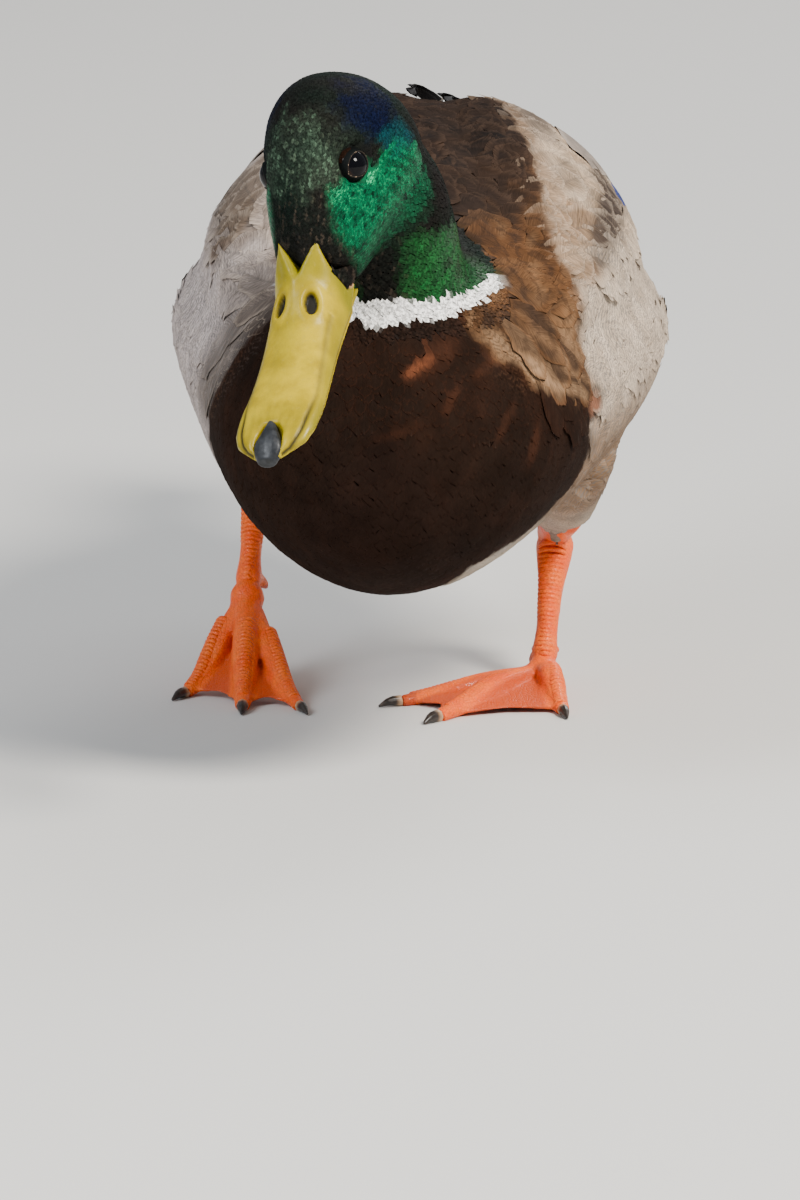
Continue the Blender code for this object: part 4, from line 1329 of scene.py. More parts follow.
def make_coat(skin):
    """Feathers of every tract, laid over the skin."""
    roots, region, kind = plant(skin)
    ways = lie(roots, region)
    random = np.random.default_rng(23)
    ways = unit(ways + random.normal(size=ways.shape) * DISORDER)
    uv = unwrap(roots, region)
    made = []
    for number, (name, (tract, material, _)) in enumerate(COAT.items()):
        _, length, width, rise, rows, columns = TRACTS[tract]
        chosen = kind == TRACT_NAMES.index(tract)
        count = int(chosen.sum())
        vary = random.uniform(*VARIATION, (3, count))
        lengths, half = length * MM * vary[0], width / 2 * MM * vary[1]
        place = roots[chosen]
        if tract == "head":
            short = 1 - 0.42 * face_share(place)
            lengths, half = lengths * short, half * short
        if tract == "thigh":
            short = 0.42 + 0.58 * ramp(above_ankle(place), 8, 25)
            lengths, half = lengths * short, half * short
        vanes = Vanes(rows, columns)
        spine, up = follow(skin, place, ways[chosen], lengths, vanes.along)
        lift = rise * vary[2][:, None] * MM * vanes.along[None, :] ** 0.9 - ROOT_DEPTH
        spine = spine + up * lift[..., None]
        thick = 0.03 * MM + 0.002 * width * MM
        vertices = vanes.build(spine, up, half, thick, 0.05, 0.10, 40 + number)
        marks = list(plumage(spine[:, int(rows * 0.7)], region[chosen]))
        if material == "plumage":
            each = vertices.shape[1]
            placed = plumage(vertices.reshape(-1, 3), np.repeat(region[chosen], each))
            for i in range(3):
                marks[i] = BLENDING * placed[i] + (1 - BLENDING) * np.repeat(marks[i], each, axis=0)
        made.append(vanes.mesh(name, vertices, up, uv[chosen], marks, MATERIALS[material]))
        print(name, count, "vanes", count * len(vanes.faces) * 2, "triangles")
    return made


def constant_marks(count, tone, marks_tone, fringe, shares, gloss=0.0):
    """The same colours and marks for every feather of a row."""
    rows = [np.tile(np.array(colour, float), (count, 1)) for colour in (tone, marks_tone, fringe)]
    return [*rows, np.tile(np.array(shares, float), (count, 1)), np.full(count, float(gloss))]


def on_body(skin, y, degrees):
    """The place on the skin at that y (millimetres) and turn from the back."""
    turn = math.radians(degrees)
    out = Vector((math.sin(turn), 0, math.cos(turn)))
    start = Vector((AXIS_X, y * MM, AXIS_Z)) + out * 0.2
    return np.array(skin.tree.ray_cast(start, -out)[0])


def make_row(skin, name, roots, length, width, rise, marks):
    """Long feathers laid over the body from the given (y, degrees)."""
    places = np.array([on_body(skin, *root) for root in roots])
    count = len(places)
    vanes = Vanes(14, 7, flight_shape)
    ways = lie(places, np.full(count, WING))
    spine, up = follow(skin, places, ways, np.full(count, length * MM), vanes.along)
    spine = spine + up * (rise * (0.35 + 0.65 * vanes.along) * MM)[None, :, None]
    vertices = vanes.build(spine, up, width / 2 * MM, 0.25 * MM, 0.12, 0.02, 7)
    uv = unwrap(places, np.full(count, WING))
    return vanes.mesh(name, vertices, up, uv, marks, MATERIALS["flight"])


def joined(pieces, name):
    """Joins feather pieces of one material into one object."""
    bpy.ops.object.select_all(action="DESELECT")
    for piece in pieces:
        piece.select_set(True)
    bpy.context.view_layer.objects.active = pieces[0]
    bpy.ops.object.join()
    pieces[0].name = name
    return pieces[0]


def make_wing_feathers(skin):
    """Tertials, the blue speculum's secondaries and the primaries' stacked tips on both sides."""
    pieces = []
    for side, sign in SIDES.items():
        roots = [(18 + 9 * i, sign * (45 + 3.5 * i)) for i in range(4)]
        marks = constant_marks(4, TERTIAL, WING_BROWN, TERTIAL_FRINGE, (0, 0.25, 0.4, 0.5))
        pieces.append(make_row(skin, f"tertials_{side}", roots, 60, 19, 1.4, marks))
        roots = [(22 + 7.0 * i, sign * (60 + 0.8 * i)) for i in range(7)]
        marks = constant_marks(7, SPECULUM, BLACK, WHITE, (0, 0, 0.95, 0.2), 0.4)
        pieces.append(make_row(skin, f"speculum_{side}", roots, 34, 13, 0.8, marks))
        pieces.append(make_primaries(side, sign))
    return joined(pieces, "wing_feathers")


def make_primaries(side, sign):
    """The flight feathers' tips, one over the other, along the solid that stands for them."""
    points = read_points(NODES[f"primaries_{side}"].data)
    low, high = points[:, 1].min(), points[:, 1].max()
    root = points[points[:, 1] < low + 3 * MM].mean(axis=0)
    tip = points[points[:, 1] > high - 3 * MM].mean(axis=0)
    count = 6
    back = 18 * MM  # how far before the solid's root the feathers start
    share = np.linspace(0.50, 1.0, count)
    flat = unit(np.array((sign, 0.2, -0.55)))
    ahead = unit(tip - root)
    over = unit(np.cross(ahead, flat))
    over *= np.sign(over[2])
    vanes = Vanes(14, 5, flight_shape)
    reach = np.linalg.norm(tip - root)
    begin = root - ahead * back + flat * (np.linspace(2.5, -1.5, count) * MM)[:, None]
    begin = begin - over * (np.linspace(-1.6, 0.9, count) * MM)[:, None]
    along = vanes.along[None, :, None] * (share * (reach + back))[:, None, None]
    spine = begin[:, None] + ahead * along
    up = np.broadcast_to(over, spine.shape)
    vertices = vanes.build(spine, up, 7.2 * MM, 0.3 * MM, 0.10, 0.015, 9)
    uv = unwrap(begin, np.full(count, WING))
    marks = constant_marks(count, PRIMARY, BLACK, PRIMARY_FRINGE, (0, 0.2, 0.35, 0.6))
    return vanes.mesh(f"primaries_feathers_{side}", vertices, up, uv, marks, MATERIALS["flight"])


def drop_on(tree, x, y, fallback, start=0.3):
    """The height of a surface under (x, y), from that height down."""
    hit = tree.ray_cast(Vector((x, y, start)), Vector((0, 0, -1)))[0]
    return hit.z if hit else fallback


def make_tail_feathers():
    """The fan of the tail: brown in the middle, white outside."""
    tree = solid_tree("tail")
    low, high = box_of("tail")
    centre_x, half_fan = (low[0] + high[0]) / 2, (high[0] - low[0]) / 2
    shares = np.linspace(-1, 1, 18)
    vanes = Vanes(14, 5, flight_shape)
    middle_z = low[2] + 0.5 * (high[2] - low[2])
    spines = []
    for share in shares:
        start = np.array((centre_x + 0.30 * share * half_fan, low[1] - 0.012))
        end = np.array((centre_x + 0.82 * share * half_fan, high[1] - 0.020 * share**2 - 0.001))
        line = [start + (end - start) * t for t in vanes.along]
        heights = [drop_on(tree, x, y, None) for x, y in line]
        known = [i for i, z in enumerate(heights) if z is not None]
        if known:
            heights = np.interp(np.arange(len(line)), known, [heights[i] for i in known])
        else:
            heights = middle_z
        lift = (0.9 - 2.0 * abs(share)) * MM * (0.2 + 0.8 * vanes.along)
        spines.append(np.column_stack([np.array(line), heights + lift]))
    spine = np.array(spines)
    count = len(shares)
    up = np.broadcast_to((0.0, 0.0, 1.0), spine.shape)
    vertices = vanes.build(spine, up, 6.6 * MM, 0.35 * MM, 0.15, 0.015, 11)
    outer = ramp(np.abs(shares), 0.25, 0.65)
    tone = blend(TAIL_BROWN, WHITE, outer)
    flat = np.ones((count, 1))
    marks = [tone, flat * UMBER, flat * TAIL_FRINGE, flat * (0, 0.30, 0.45, 0.4), np.zeros(count)]
    uv = np.column_stack([0.62 + 0.3 * (shares + 1) / 2, np.full(count, 0.92)])
    return vanes.mesh("tail_feathers", vertices, up, uv, marks, MATERIALS["flight"])


def make_curl(side, sign):
    """Two black feathers that curl up and forwards over the tail."""
    low, high = box_of(f"curl_{side}")
    hub = (low + high) / 2 + np.array((0, 0, 5.5 - 2.5 * (sign > 0))) * MM
    radius = (high[2] - low[2]) / 2 * 1.25
    vanes = Vanes(20, 5, flight_shape, 1.0)
    spines, ups = [], []
    for number in range(2):
        turn = np.radians(-38 + (225 + 30 * number) * vanes.along)
        reach = radius * (1.0 - 0.20 * vanes.along) * (1 - 0.14 * number)
        out = np.column_stack([np.zeros(20), np.sin(turn), -np.cos(turn)])
        aside = np.array((sign * (0.4 + 1.1 * number) * MM, 0, 0))
        spine = hub + aside + out * reach[:, None]
        spine[:, 0] -= 1.15 * np.maximum(spine[:, 2] - hub[2] - 1.5 * MM, 0)
        spines.append(spine)
        ups.append(-out)
    spine, up = np.array(spines), np.array(ups)
    vertices = vanes.build(spine, up, 1.7 * MM, 0.5 * MM, 0.2, 0.03, 13)
    uv = np.array([(0.62 + 0.1 * (sign > 0) + 0.04 * n, 0.97) for n in range(2)])
    marks = constant_marks(2, CURL_BLACK, BLACK, CURL_FRINGE, (0, 0, 0.3, 0), 0.3)
    return vanes.mesh(f"curl_feathers_{side}", vertices, up, uv, marks, MATERIALS["flight"])


# --- bare parts -------------------------------------------------------------

COMB_PITCH = 1.05  # millimetres from one lamella of the bill's comb to the next


def refine(name, nodes, material, voxel, grow, rounds, balls=()):
    """A smooth, finely divided copy of solids, in one material."""
    piece = largest_island(remeshed(name, nodes, grow, voxel, balls))
    smooth(piece.data, rounds, 0.5)
    shade_smooth(piece.data)
    piece.data.materials.clear()
    piece.data.materials.append(MATERIALS[material])
    return piece


def hump(values, centre, width):
    """1 at the centre, falling off on both sides."""
    return np.exp(-(((values - centre) / width) ** 2))


def make_bill():
    """The bill with its nostrils, edge and comb of lamellae."""
    bill = refine("bill", ("bill_upper", "bill_lower"), "bill", 0.00045, 0.0003, 26)
    mesh = bill.data
    points, normals = read_points(mesh), read_normals(mesh)
    x, y, z = to_head(points).T
    beside = np.abs(x)
    facing_up = normals @ HEAD_AXES[:, 2]
    half_width = edge_width(y, beside)
    # nostril: an open slit with a raised rim on each side of the ridge
    slit = np.hypot((y + 33.5) / 3.7, (beside - 4.2 + 0.05 * (y + 33.5)) / 2.0)
    upper = facing_up > -0.1
    sink = (1 - ramp(slit, 0.62, 0.92)) * upper
    rim = ramp(slit, 0.8, 1.15) * (1 - ramp(slit, 1.2, 1.9)) * upper
    # a groove inside the edge, deepest round the tip, and the comb below it
    inside = half_width - beside
    front = ramp(y, -60, -72)
    groove = hump(inside, 1.5 + 0.9 * front, 0.50) * upper * (y < -34) * (beside > 4)
    comb = (np.sin(2 * math.pi * y / COMB_PITCH) > 0.25) * (y < -36) * (y > -72)
    comb = comb * ramp(facing_up, -0.15, -0.45)
    mouth = hump(facing_up, -0.10, 0.09) * (y < -23) * (y > -73) * (beside > 4)
    ridge = hump(beside, 0, 3.2) * ramp(y, -66, -40) * ramp(facing_up, 0.1, 0.6)
    saddle = hump(beside, 5.0, 2.5) * ramp(y, -74, -50) * ramp(y, -34, -44) * upper
    wrinkle = np.sin(beside * 2.6 + 0.8 * np.sin(y * 0.4)) * front * upper
    height = 0.35 * rim - 1.7 * sink - (0.22 + 0.25 * front) * groove - 0.25 * comb
    height += 0.35 * ridge - 0.45 * saddle + 0.05 * wrinkle - 0.20 * mouth
    points += normals * (height * MM)[:, None]
    # feathers of the cheek cover the bill's corner above the mouth
    corner = cheek_corner(x, y, z)
    points -= HEAD_AXES[:, 0] * (np.sign(x) * corner * 0.35 * MM)[:, None]
    base = ramp(y, -64, -34)
    points += HEAD_AXES[:, 0] * ((0.07 * x * base - 1.3 * base) * MM)[:, None]
    write_points(mesh, points)
    edging = hump(inside, 0, 1.3) * upper
    olive = 0.35 * ridge + 0.7 * ramp(y, -31, -24) * upper + 0.55 * edging + 0.3 * front
    # painted shade: nostrils, mouth seam, grooves, comb and the corner under the cheek feathers
    dark = np.clip(sink * 1.3 + 0.6 * comb + 0.7 * mouth + groove * (0.35 + 0.6 * front) + corner, 0, 1)
    gape = np.hypot((y + 20.5) / 2.0, (z + 16.6) / 1.4)
    pink = (1 - ramp(gape, 0.6, 1.3)) * 0.5
    for name, values in (("olive", np.clip(olive, 0, 1)), ("dark", dark), ("pink", pink)):
        add_attribute(mesh, name, values[:, None])
    return bill


def cheek_corner(x, y, z):
    """1 where feathers grow over the bill's hind corner, above the mouth."""
    behind = ramp(y, -23.9, -23.3) * (np.abs(x) > 6.5)
    return behind * ramp(z + 0.25 * (y + 22), -17.6, -16.9) * (z < -9.8)


def make_cheek_feathers(bill):
    """The smallest feathers, over the bill's hind corners."""
    points, normals = read_points(bill.data), read_normals(bill.data)
    picks = np.random.default_rng(31).random(len(points))
    chosen = (cheek_corner(*to_head(points).T) > 0.5) & (picks < 0.75)
    roots, up = points[chosen], normals[chosen]
    region = np.full(len(roots), HEAD)
    vanes = Vanes(4, 3)
    way = lie(roots, region)
    way = unit(way - up * (way * up).sum(axis=1, keepdims=True))
    spine = roots[:, None] + way[:, None] * (1.5 * MM * vanes.along)[None, :, None]
    spine = spine + up[:, None] * ((0.10 + 0.25 * vanes.along) * MM)[None, :, None]
    up = np.repeat(up[:, None], vanes.rows, axis=1)
    vertices = vanes.build(spine, up, 0.45 * MM, 0.03 * MM, 0.05, 0.10, 61)
    marks = plumage(roots, region)
    return vanes.mesh("cheek_feathers", vertices, up, unwrap(roots, region), marks, MATERIALS["head"])


def edge_width(y, beside):
    """The bill's half width at each y, from the widest points round it."""
    bins = np.arange(-84.0, -10.0, 1.5)
    widest = [beside[np.abs(y - at) < 1.5].max(initial=0.0) for at in bins]
    return np.interp(y, bins, widest)


def make_nail():
    """The dark nail at the bill's tip, narrow behind and broad in front."""
    nail = refine("nail", ("bill_nail",), "nail", 0.00022, 0.0004, 10)
    points = read_points(nail.data)
    x, y, _ = to_head(points).T
    middle_x = (x.max() + x.min()) / 2
    narrow = 0.55 * ramp(y, y.min() + 2.5, y.max())
    points -= HEAD_AXES[:, 0] * ((x - middle_x) * narrow * MM)[:, None]
    write_points(nail.data, points)
    return nail


def make_claw(side, toe):
    """A claw, with how far each place is from the leg as its reach."""
    name = f"claw_{side}_{toe}"
    claw = refine(f"{name}_horn", (name,), "claw", 0.00018, 0.0, 3)
    hub = middle(f"shank_{side}") * (1, 1, 0)
    away = np.linalg.norm(read_points(claw.data) * (1, 1, 0) - hub, axis=1)
    reach = (away - away.min()) / (away.max() - away.min())
    add_attribute(claw.data, "reach", reach[:, None])
    return claw


def turned_out(work, mesh):
    """Gives a bmesh normals that point outwards and writes it to the mesh."""
    bmesh.ops.recalc_face_normals(work, faces=work.faces)
    work.to_mesh(mesh)
    work.free()


def make_eye(side):
    """The eyeball, finest round its pupil."""
    centre, way = eye_frame(side)
    rings, steps = 48, 64
    polar = math.pi * (np.arange(rings + 1) / rings) ** 1.5
    turn = 2 * math.pi * np.arange(steps) / steps
    across = unit(np.cross(way, (0.0, 0.0, 1.0)))
    over = np.cross(across, way)
    circle = np.cos(turn)[:, None] * across + np.sin(turn)[:, None] * over
    bulge = 1 + 0.035 * (1 - ramp(polar, 0.1, 0.9))
    body = [centre + EYE_RADIUS * b * (math.cos(p) * way + math.sin(p) * circle)
            for p, b in zip(polar[1:-1], bulge[1:-1])]
    front, back = centre + way * EYE_RADIUS * bulge[0], centre - way * EYE_RADIUS
    points = np.concatenate([np.concatenate(body), [front, back]])
    work = bmesh.new()
    made = [work.verts.new(point) for point in points]
    rows = [made[k * steps:(k + 1) * steps] for k in range(rings - 1)]
    for first, second in zip(rows, rows[1:]):
        for j in range(steps):
            work.faces.new((first[j], second[j], second[j - steps + 1], first[j - steps + 1]))
    for j in range(steps):
        work.faces.new((made[-2], rows[0][j], rows[0][j - steps + 1]))
        work.faces.new((made[-1], rows[-1][j - steps + 1], rows[-1][j]))
    mesh = bpy.data.meshes.new(f"eyeball_{side}")
    turned_out(work, mesh)
    shade_smooth(mesh)
    reach = np.concatenate([np.repeat(polar[1:-1] / (math.pi / 2), steps), [0.0, 2.0]])
    add_attribute(mesh, "reach", reach[:, None])
    mesh.materials.append(MATERIALS["eye"])
    return place_in_scene(f"eyeball_{side}", mesh)


# the lids' section, from inside the ball out to the skin: times the opening, millimetres over the ball
LID_SECTION = (
    (0.86, -0.35), (0.96, -0.02), (1.00, 0.14), (1.04, 0.30), (1.10, 0.38), (1.18, 0.34),
    (1.34, 0.16), (1.58, -0.30), (1.64, -1.30), (1.30, -1.40), (1.00, -1.00),
)
LID_RIM = 1.04  # the row of the section that is the pale rim
LID_HALF = (3.55 * MM, 2.90 * MM)  # along the head and across it


def make_lids(side):
    """A closed ring of bare skin round the eye: an almond opening with two corners."""
    centre, way = eye_frame(side)
    along = unit(HEAD_AXES[:, 1] - way * (HEAD_AXES[:, 1] @ way))
    over = unit(np.cross(way, along))
    over *= np.sign(over @ HEAD_AXES[:, 2])
    steps, ball = 72, EYE_RADIUS * 0.93  # the lids leave the eyeball at that radius
    turn = 2 * math.pi * np.arange(steps) / steps
    corner = np.abs(np.cos(turn)) ** 3
    points, rim = [], []
    for wide, height in LID_SECTION:
        a = LID_HALF[0] * wide * np.cos(turn) * (1 + 0.05 * corner)
        b = LID_HALF[1] * wide * np.sin(turn) * (1 - 0.10 * corner)
        reach = np.minimum(np.hypot(a, b), EYE_RADIUS * 1.4)
        rise = np.sqrt(np.maximum(EYE_RADIUS**2 - np.minimum(reach, ball) ** 2, 0))
        fall = np.maximum(reach - ball, 0) * 0.7
        wrinkle = 0.05 * np.sin(turn * 26) * (1.1 < wide < 1.5)
        depth = rise - fall + (height + wrinkle) * MM
        points.append(centre + a[:, None] * along + b[:, None] * over + depth[:, None] * way)
        rim.append(np.full(steps, float(wide == LID_RIM)))
    rings = len(LID_SECTION)
    faces = [
        (i * steps + j, i * steps + (j + 1) % steps,
         (i + 1) % rings * steps + (j + 1) % steps, (i + 1) % rings * steps + j)
        for i in range(rings) for j in range(steps)
    ]
    piece = make_object(f"lids_{side}", np.concatenate(points), np.array(faces), MATERIALS["lid"],
                        {"rim": np.concatenate(rim)[:, None]})
    work = bmesh.new()
    work.from_mesh(piece.data)
    turned_out(work, piece.data)
    return piece


def toe_ends(side):
    """The feet's root and the middle of each claw, on the floor's plane."""
    root = shank_axis(side)[0]
    return root, [middle(f"claw_{side}_{toe}") for toe in TOES]


def make_leg(side):
    """Shank, foot and hind toe as one smooth surface that reaches up into the thigh."""
    nodes = [f"{part}_{side}" for part in LEG_PARTS]
    (root, top), knee = shank_axis(side), middle(f"thigh_{side}")
    balls = [(top + (knee - top) * share, (4.2 + 2 * share) * MM) for share in np.linspace(0, 0.5, 9)]
    leg = refine(f"leg_{side}", nodes, "leg", 0.0006, 0.00018, 3, balls)
    points = read_points(leg.data)
    smooth(leg.data, 16, 0.5 * ramp(np.linalg.norm(points - root, axis=1), 0.016, 0.009))
    on_shank = ramp(points[:, 2], root[2] - 0.002, root[2] + 0.006)
    smooth(leg.data, 10, 0.5 * on_shank)
    points = read_points(leg.data) + read_normals(leg.data) * (0.5 * MM * on_shank)[:, None]
    write_points(leg.data, points)
    return leg


def web_share(points):
    """1 on the webs between the toes, 0 on the toes."""
    share = np.zeros(len(points))
    for side, sign in SIDES.items():
        root, tips = toe_ends(side)
        nearest = np.full(len(points), 1.0)
        for tip in tips:
            line = (tip - root) * (1, 1, 0)
            t = np.clip((points - root) @ line / (line @ line), 0, 1)[:, None]
            nearest = np.minimum(nearest, np.linalg.norm((points - root) * (1, 1, 0) - t * line, axis=1))
        mine = (points[:, 0] * sign > 0) & (points[:, 2] < max(root[2], 0.012))
        share = np.where(mine, ramp(nearest, 0.0030, 0.0050), share)
    return share


UNDER_SHADE_SHARE = 0.75  # painted shade: brightness of the skin under the feathers, as a share of theirs


def finish_skin(skin):
    """Unites the bare legs with the body's skin and gives the whole its colours."""
    shell = skin.shell
    shell.data.materials.clear()
    shell.data.materials.append(MATERIALS["under"])
    for side in SIDES:
        leg = make_leg(side)
        union = shell.modifiers.new("leg", "BOOLEAN")
        union.operation, union.solver, union.object = "UNION", "MANIFOLD", leg
        union.material_mode = "TRANSFER"
        evaluated(shell)
        bpy.data.objects.remove(leg)
    points = read_points(shell.data)
    tone = plumage(points, nearest_region(points))[0]
    # painted shade: the skin takes the feathers' colours, darkened
    add_attribute(shell.data, "tone", np.column_stack([tone * UNDER_SHADE_SHARE, np.ones(len(tone))]))
    add_attribute(shell.data, "web", web_share(points)[:, None])
    shade_smooth(shell.data)
    return shell


# --- scutes -----------------------------------------------------------------

SCUTE_PITCH = 1.35 * MM
SCUTE_LENGTH = SCUTE_PITCH * 0.62  # half of a plate, along the toe
TOE_RADIUS = 2.7 * MM


def scute_tree():
    """Geometry Nodes: bent horny plates in a row along each path, one over the next."""
    tree = bpy.data.node_groups.new("scutes", "GeometryNodeTree")
    for name, way, kind in (
        ("Paths", "INPUT", "NodeSocketGeometry"),
        ("Pitch", "INPUT", "NodeSocketFloat"),
        ("Material", "INPUT", "NodeSocketMaterial"),
        ("Plates", "OUTPUT", "NodeSocketGeometry"),
    ):
        tree.interface.new_socket(name, in_out=way, socket_type=kind)
    given = tree.nodes.new("NodeGroupInput").outputs

    def add(kind, inputs=None, **settings):
        """A node's first output; sockets among the inputs are linked."""
        node = tree.nodes.new(kind)
        for key, value in settings.items():
            setattr(node, key, value)
        for key, value in (inputs or {}).items():
            if isinstance(value, bpy.types.NodeSocket):
                tree.links.new(value, node.inputs[key])
            else:
                node.inputs[key].default_value = value
        return node.outputs[0]

    curve = add("GeometryNodeMeshToCurve", {"Mesh": given["Paths"]})
    spaced = add("GeometryNodeResampleCurve", {"Curve": curve, "Length": given["Pitch"]}, mode="LENGTH")
    bend = {"Resolution": 8, "Radius": 1.0, "Start Angle": 0.30, "Sweep Angle": math.pi - 0.60}
    arc = add("GeometryNodeCurveArc", bend)
    ring = add("GeometryNodeCurvePrimitiveCircle", {"Resolution": 6, "Radius": 1.0})
    oval = add("GeometryNodeTransform", {"Geometry": ring, "Scale": (0.13, 1.0, 1.0)})
    plate = add("GeometryNodeCurveToMesh", {"Curve": arc, "Profile Curve": oval, "Fill Caps": True})
    tangent = add("GeometryNodeInputTangent")
    upward = add("GeometryNodeInputNamedAttribute", {"Name": "upward"}, data_type="FLOAT_VECTOR")
    size = add("GeometryNodeInputNamedAttribute", {"Name": "size"}, data_type="FLOAT_VECTOR")
    aim = add("FunctionNodeAlignRotationToVector", {"Vector": tangent}, axis="Z")
    level = add("FunctionNodeAlignRotationToVector", {"Rotation": aim, "Vector": upward},
                axis="Y", pivot_axis="Z")
    placed = add("GeometryNodeInstanceOnPoints",
                 {"Points": spaced, "Instance": plate, "Rotation": level, "Scale": size})
    real = add("GeometryNodeRealizeInstances", {"Geometry": placed})
    rounded = add("GeometryNodeSetShadeSmooth", {"Geometry": real})
    painted = add("GeometryNodeSetMaterial", {"Geometry": rounded, "Material": given["Material"]})
    result = tree.nodes.new("NodeGroupOutput")
    tree.links.new(painted, result.inputs["Plates"])
    return tree


def toe_line(tree, root, claw):
    """Axis places of a toe from its root to its claw, with the size of a plate on each."""
    steps = 12
    start, end = root + (claw - root) * 0.36, root + (claw - root) * 0.85
    places, sizes = [], []
    for k in range(steps + 1):
        share = k / steps
        x, y = (start + (end - start) * share)[:2]
        radius = TOE_RADIUS * (1.0 - 0.22 * share)
        places.append((x, y, drop_on(tree, x, y, TOE_RADIUS, 0.03) - radius + 0.10 * MM))
        sizes.append((radius * 0.92, radius, SCUTE_LENGTH))
    return places, sizes, [(0, 0, 1)] * len(places)


def shank_line(tree, side):
    """The same along a shank, whose plates face forwards."""
    low, high = shank_axis(side)
    ahead = unit(high - low)
    front = unit(np.array((0.0, -1.0, 0.0)) + ahead * ahead[1])
    beside = np.cross(front, ahead)
    places, sizes = [], []
    for share in np.linspace(0.02, 0.86, 15):
        place = low + (high - low) * share
        reach = []
        for way in (beside, front):
            hit = tree.ray_cast(Vector(place + way * 0.02), Vector(-way))[0]
            reach.append(np.linalg.norm(np.array(hit) - place) if hit else 0.003)
        places.append(tuple(place))
        sizes.append((reach[0] + 0.04 * MM, reach[1] + 0.08 * MM, SCUTE_LENGTH))
    return places, sizes, [tuple(front)] * len(places)


def make_scutes(shell):
    """The rows of plates down the shanks and along the toes."""
    tree = BVHTree.FromPolygons(read_points(shell.data).tolist(), read_faces(shell.data).tolist())
    lines = []
    for side in SIDES:
        root, claws = toe_ends(side)
        lines += [toe_line(tree, root, claw) for claw in claws]
        lines.append(shank_line(tree, side))
    mesh = bpy.data.meshes.new("leg_scutes")
    places = [place for line in lines for place in line[0]]
    edges, first = [], 0
    for line in lines:
        edges += [(first + k, first + k + 1) for k in range(len(line[0]) - 1)]
        first += len(line[0])
    mesh.from_pydata(places, edges, [])
    for key, column in (("size", 1), ("upward", 2)):
        add_attribute(mesh, key, np.array([value for line in lines for value in line[column]]))
    piece = place_in_scene("leg_scutes", mesh)
    modifier = piece.modifiers.new("scutes", "NODES")
    modifier.node_group = scute_tree()
    sockets = {item.name: item.identifier for item in modifier.node_group.interface.items_tree}
    modifier[sockets["Pitch"]] = SCUTE_PITCH
    modifier[sockets["Material"]] = MATERIALS["leg"]
    evaluated(piece)
    add_attribute(piece.data, "web", np.zeros((len(piece.data.vertices), 1)))
    return piece


# --- stage ------------------------------------------------------------------

CAMERA_AIM = np.array((-5.28, 5.02, 27.3)) * MM
CAMERA_HEIGHT, CAMERA_SIDE = math.radians(12), math.radians(3.5)  # over the floor, to the bird's left
CAMERA_BACK = np.array((math.sin(CAMERA_SIDE) * math.cos(CAMERA_HEIGHT),
                        -math.cos(CAMERA_SIDE) * math.cos(CAMERA_HEIGHT),
                        math.sin(CAMERA_HEIGHT)))
CAMERA_DISTANCE = 3.5
FILM_HEIGHT, LENS = 24, 252  # millimetres
FLOOR_REACH = 9.0
FLOOR_GREY = (0.62, 0.61, 0.59, 1)
ROOM_LIGHT, ROOM_STRENGTH = (0.86, 0.92, 1.0, 1), 0.40
LIT_PLACE = (0, 0, 0.10)
# every lamp: place, size in metres, watts, colour
LAMPS = {
    "key": ((1.1, -1.1, 1.6), 0.7, 92, (1.0, 0.95, 0.87)),
    "fill": ((-1.3, -1.1, 1.3), 1.0, 30, (0.90, 0.95, 1.0)),
    "rim": ((0.6, 1.5, 1.3), 0.9, 20, (1.0, 0.98, 0.95)),
}


def make_floor():
    """The floor, which isn't part of the bird."""
    mesh = bpy.data.meshes.new("floor")
    corners = [(x * FLOOR_REACH, y * FLOOR_REACH, 0) for x, y in ((-1, -1), (1, -1), (1, 1), (-1, 1))]
    mesh.from_pydata(corners, [], [(0, 1, 2, 3)])
    mesh.materials.append(Surface("floor_paint", base_color=FLOOR_GREY, roughness=0.85).material)
    floor = place_in_scene("floor", mesh)


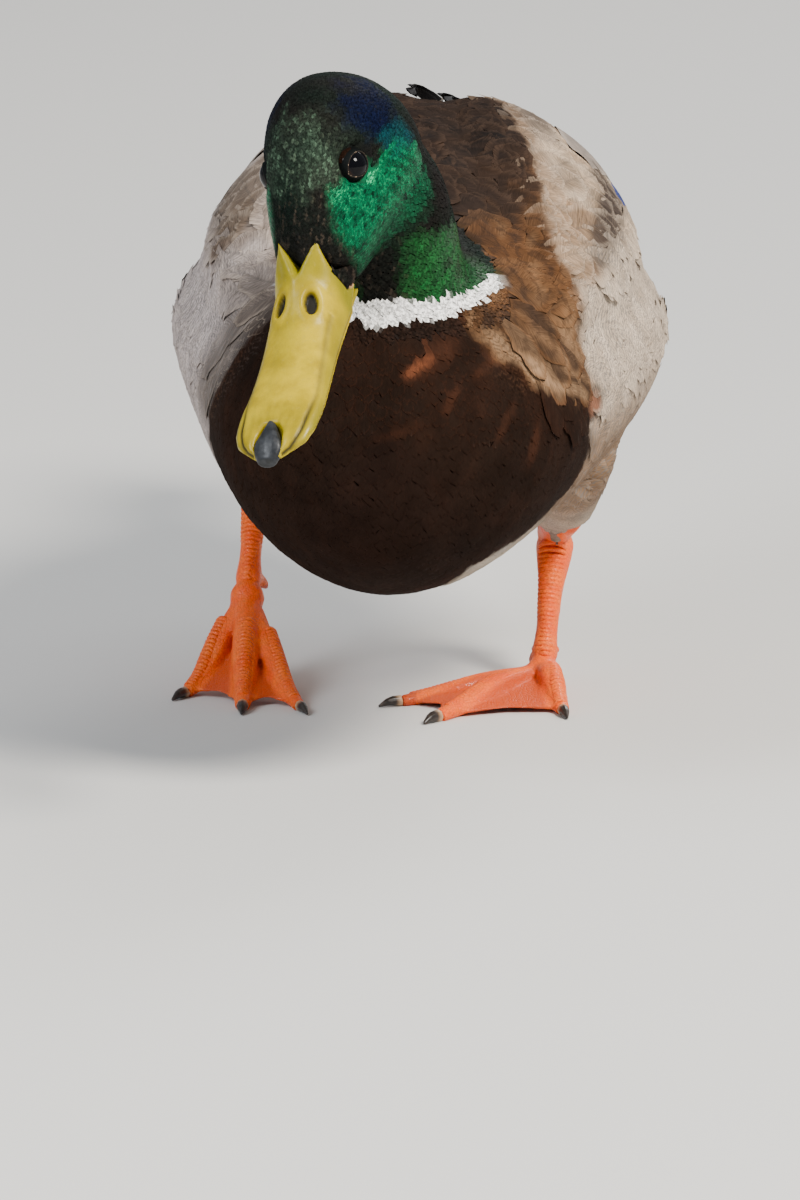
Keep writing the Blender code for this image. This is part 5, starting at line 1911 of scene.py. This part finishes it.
def make_lamp(name, place, size, power, colour):
    """A round lamp that shines at the bird."""
    lamp = bpy.data.lights.new(name, "AREA")
    lamp.shape, lamp.size, lamp.energy, lamp.color = "DISK", size, power, colour
    light = place_in_scene(name, lamp)
    light.location = place
    light.rotation_euler = (Vector(place) - Vector(LIT_PLACE)).to_track_quat("Z", "Y").to_euler()


def make_camera():
    """The camera in front of the bird, with a long lens."""
    camera = bpy.data.cameras.new("camera")
    camera.sensor_fit, camera.sensor_height, camera.lens = "VERTICAL", FILM_HEIGHT, LENS
    camera.clip_start, camera.clip_end = 0.1, 50
    eye = place_in_scene("camera", camera)
    eye.location = CAMERA_AIM + CAMERA_BACK * CAMERA_DISTANCE
    eye.rotation_euler = Vector(CAMERA_BACK).to_track_quat("Z", "Y").to_euler()
    bpy.context.scene.camera = eye


def make_stage():
    """Floor, soft light from the upper right, and the camera."""
    make_floor()
    for name, (place, size, power, colour) in LAMPS.items():
        make_lamp(name, place, size, power, colour)
    world = bpy.data.worlds.new("room")
    world.use_nodes = True
    background = world.node_tree.nodes["Background"]
    background.inputs["Color"].default_value = ROOM_LIGHT
    background.inputs["Strength"].default_value = ROOM_STRENGTH
    bpy.context.scene.world = world
    make_camera()


# --- the whole bird ---------------------------------------------------------


def main():
    """Makes every piece, puts it on the body and lights it."""
    skin = Skin()
    skin.sink_sockets()
    skin.refresh()
    for piece in make_coat(skin):
        settle(piece, COAT[piece.name][2])
    settle(make_wing_feathers(skin), "dark_plumage", "primaries_left", "primaries_right")
    settle(make_tail_feathers(), "dark_plumage", "tail")
    for side, sign in SIDES.items():
        settle(make_curl(side, sign), "dark_plumage", f"curl_{side}")
        settle(make_eye(side), "eye", f"eye_{side}")
        settle(make_lids(side), "head_plumage")
        for toe in TOES:
            settle(make_claw(side, toe), "claw_horn", f"claw_{side}_{toe}")
    shell = finish_skin(skin)
    settle(make_scutes(shell), "leg_skin")
    settle(shell, "breast_plumage", *FLESH, *BARE)
    bill = settle(make_bill(), "bill_horn", "bill_upper", "bill_lower")
    settle(make_cheek_feathers(bill), "head_plumage")
    settle(make_nail(), "nail_horn", "bill_nail")
    make_stage()


main()
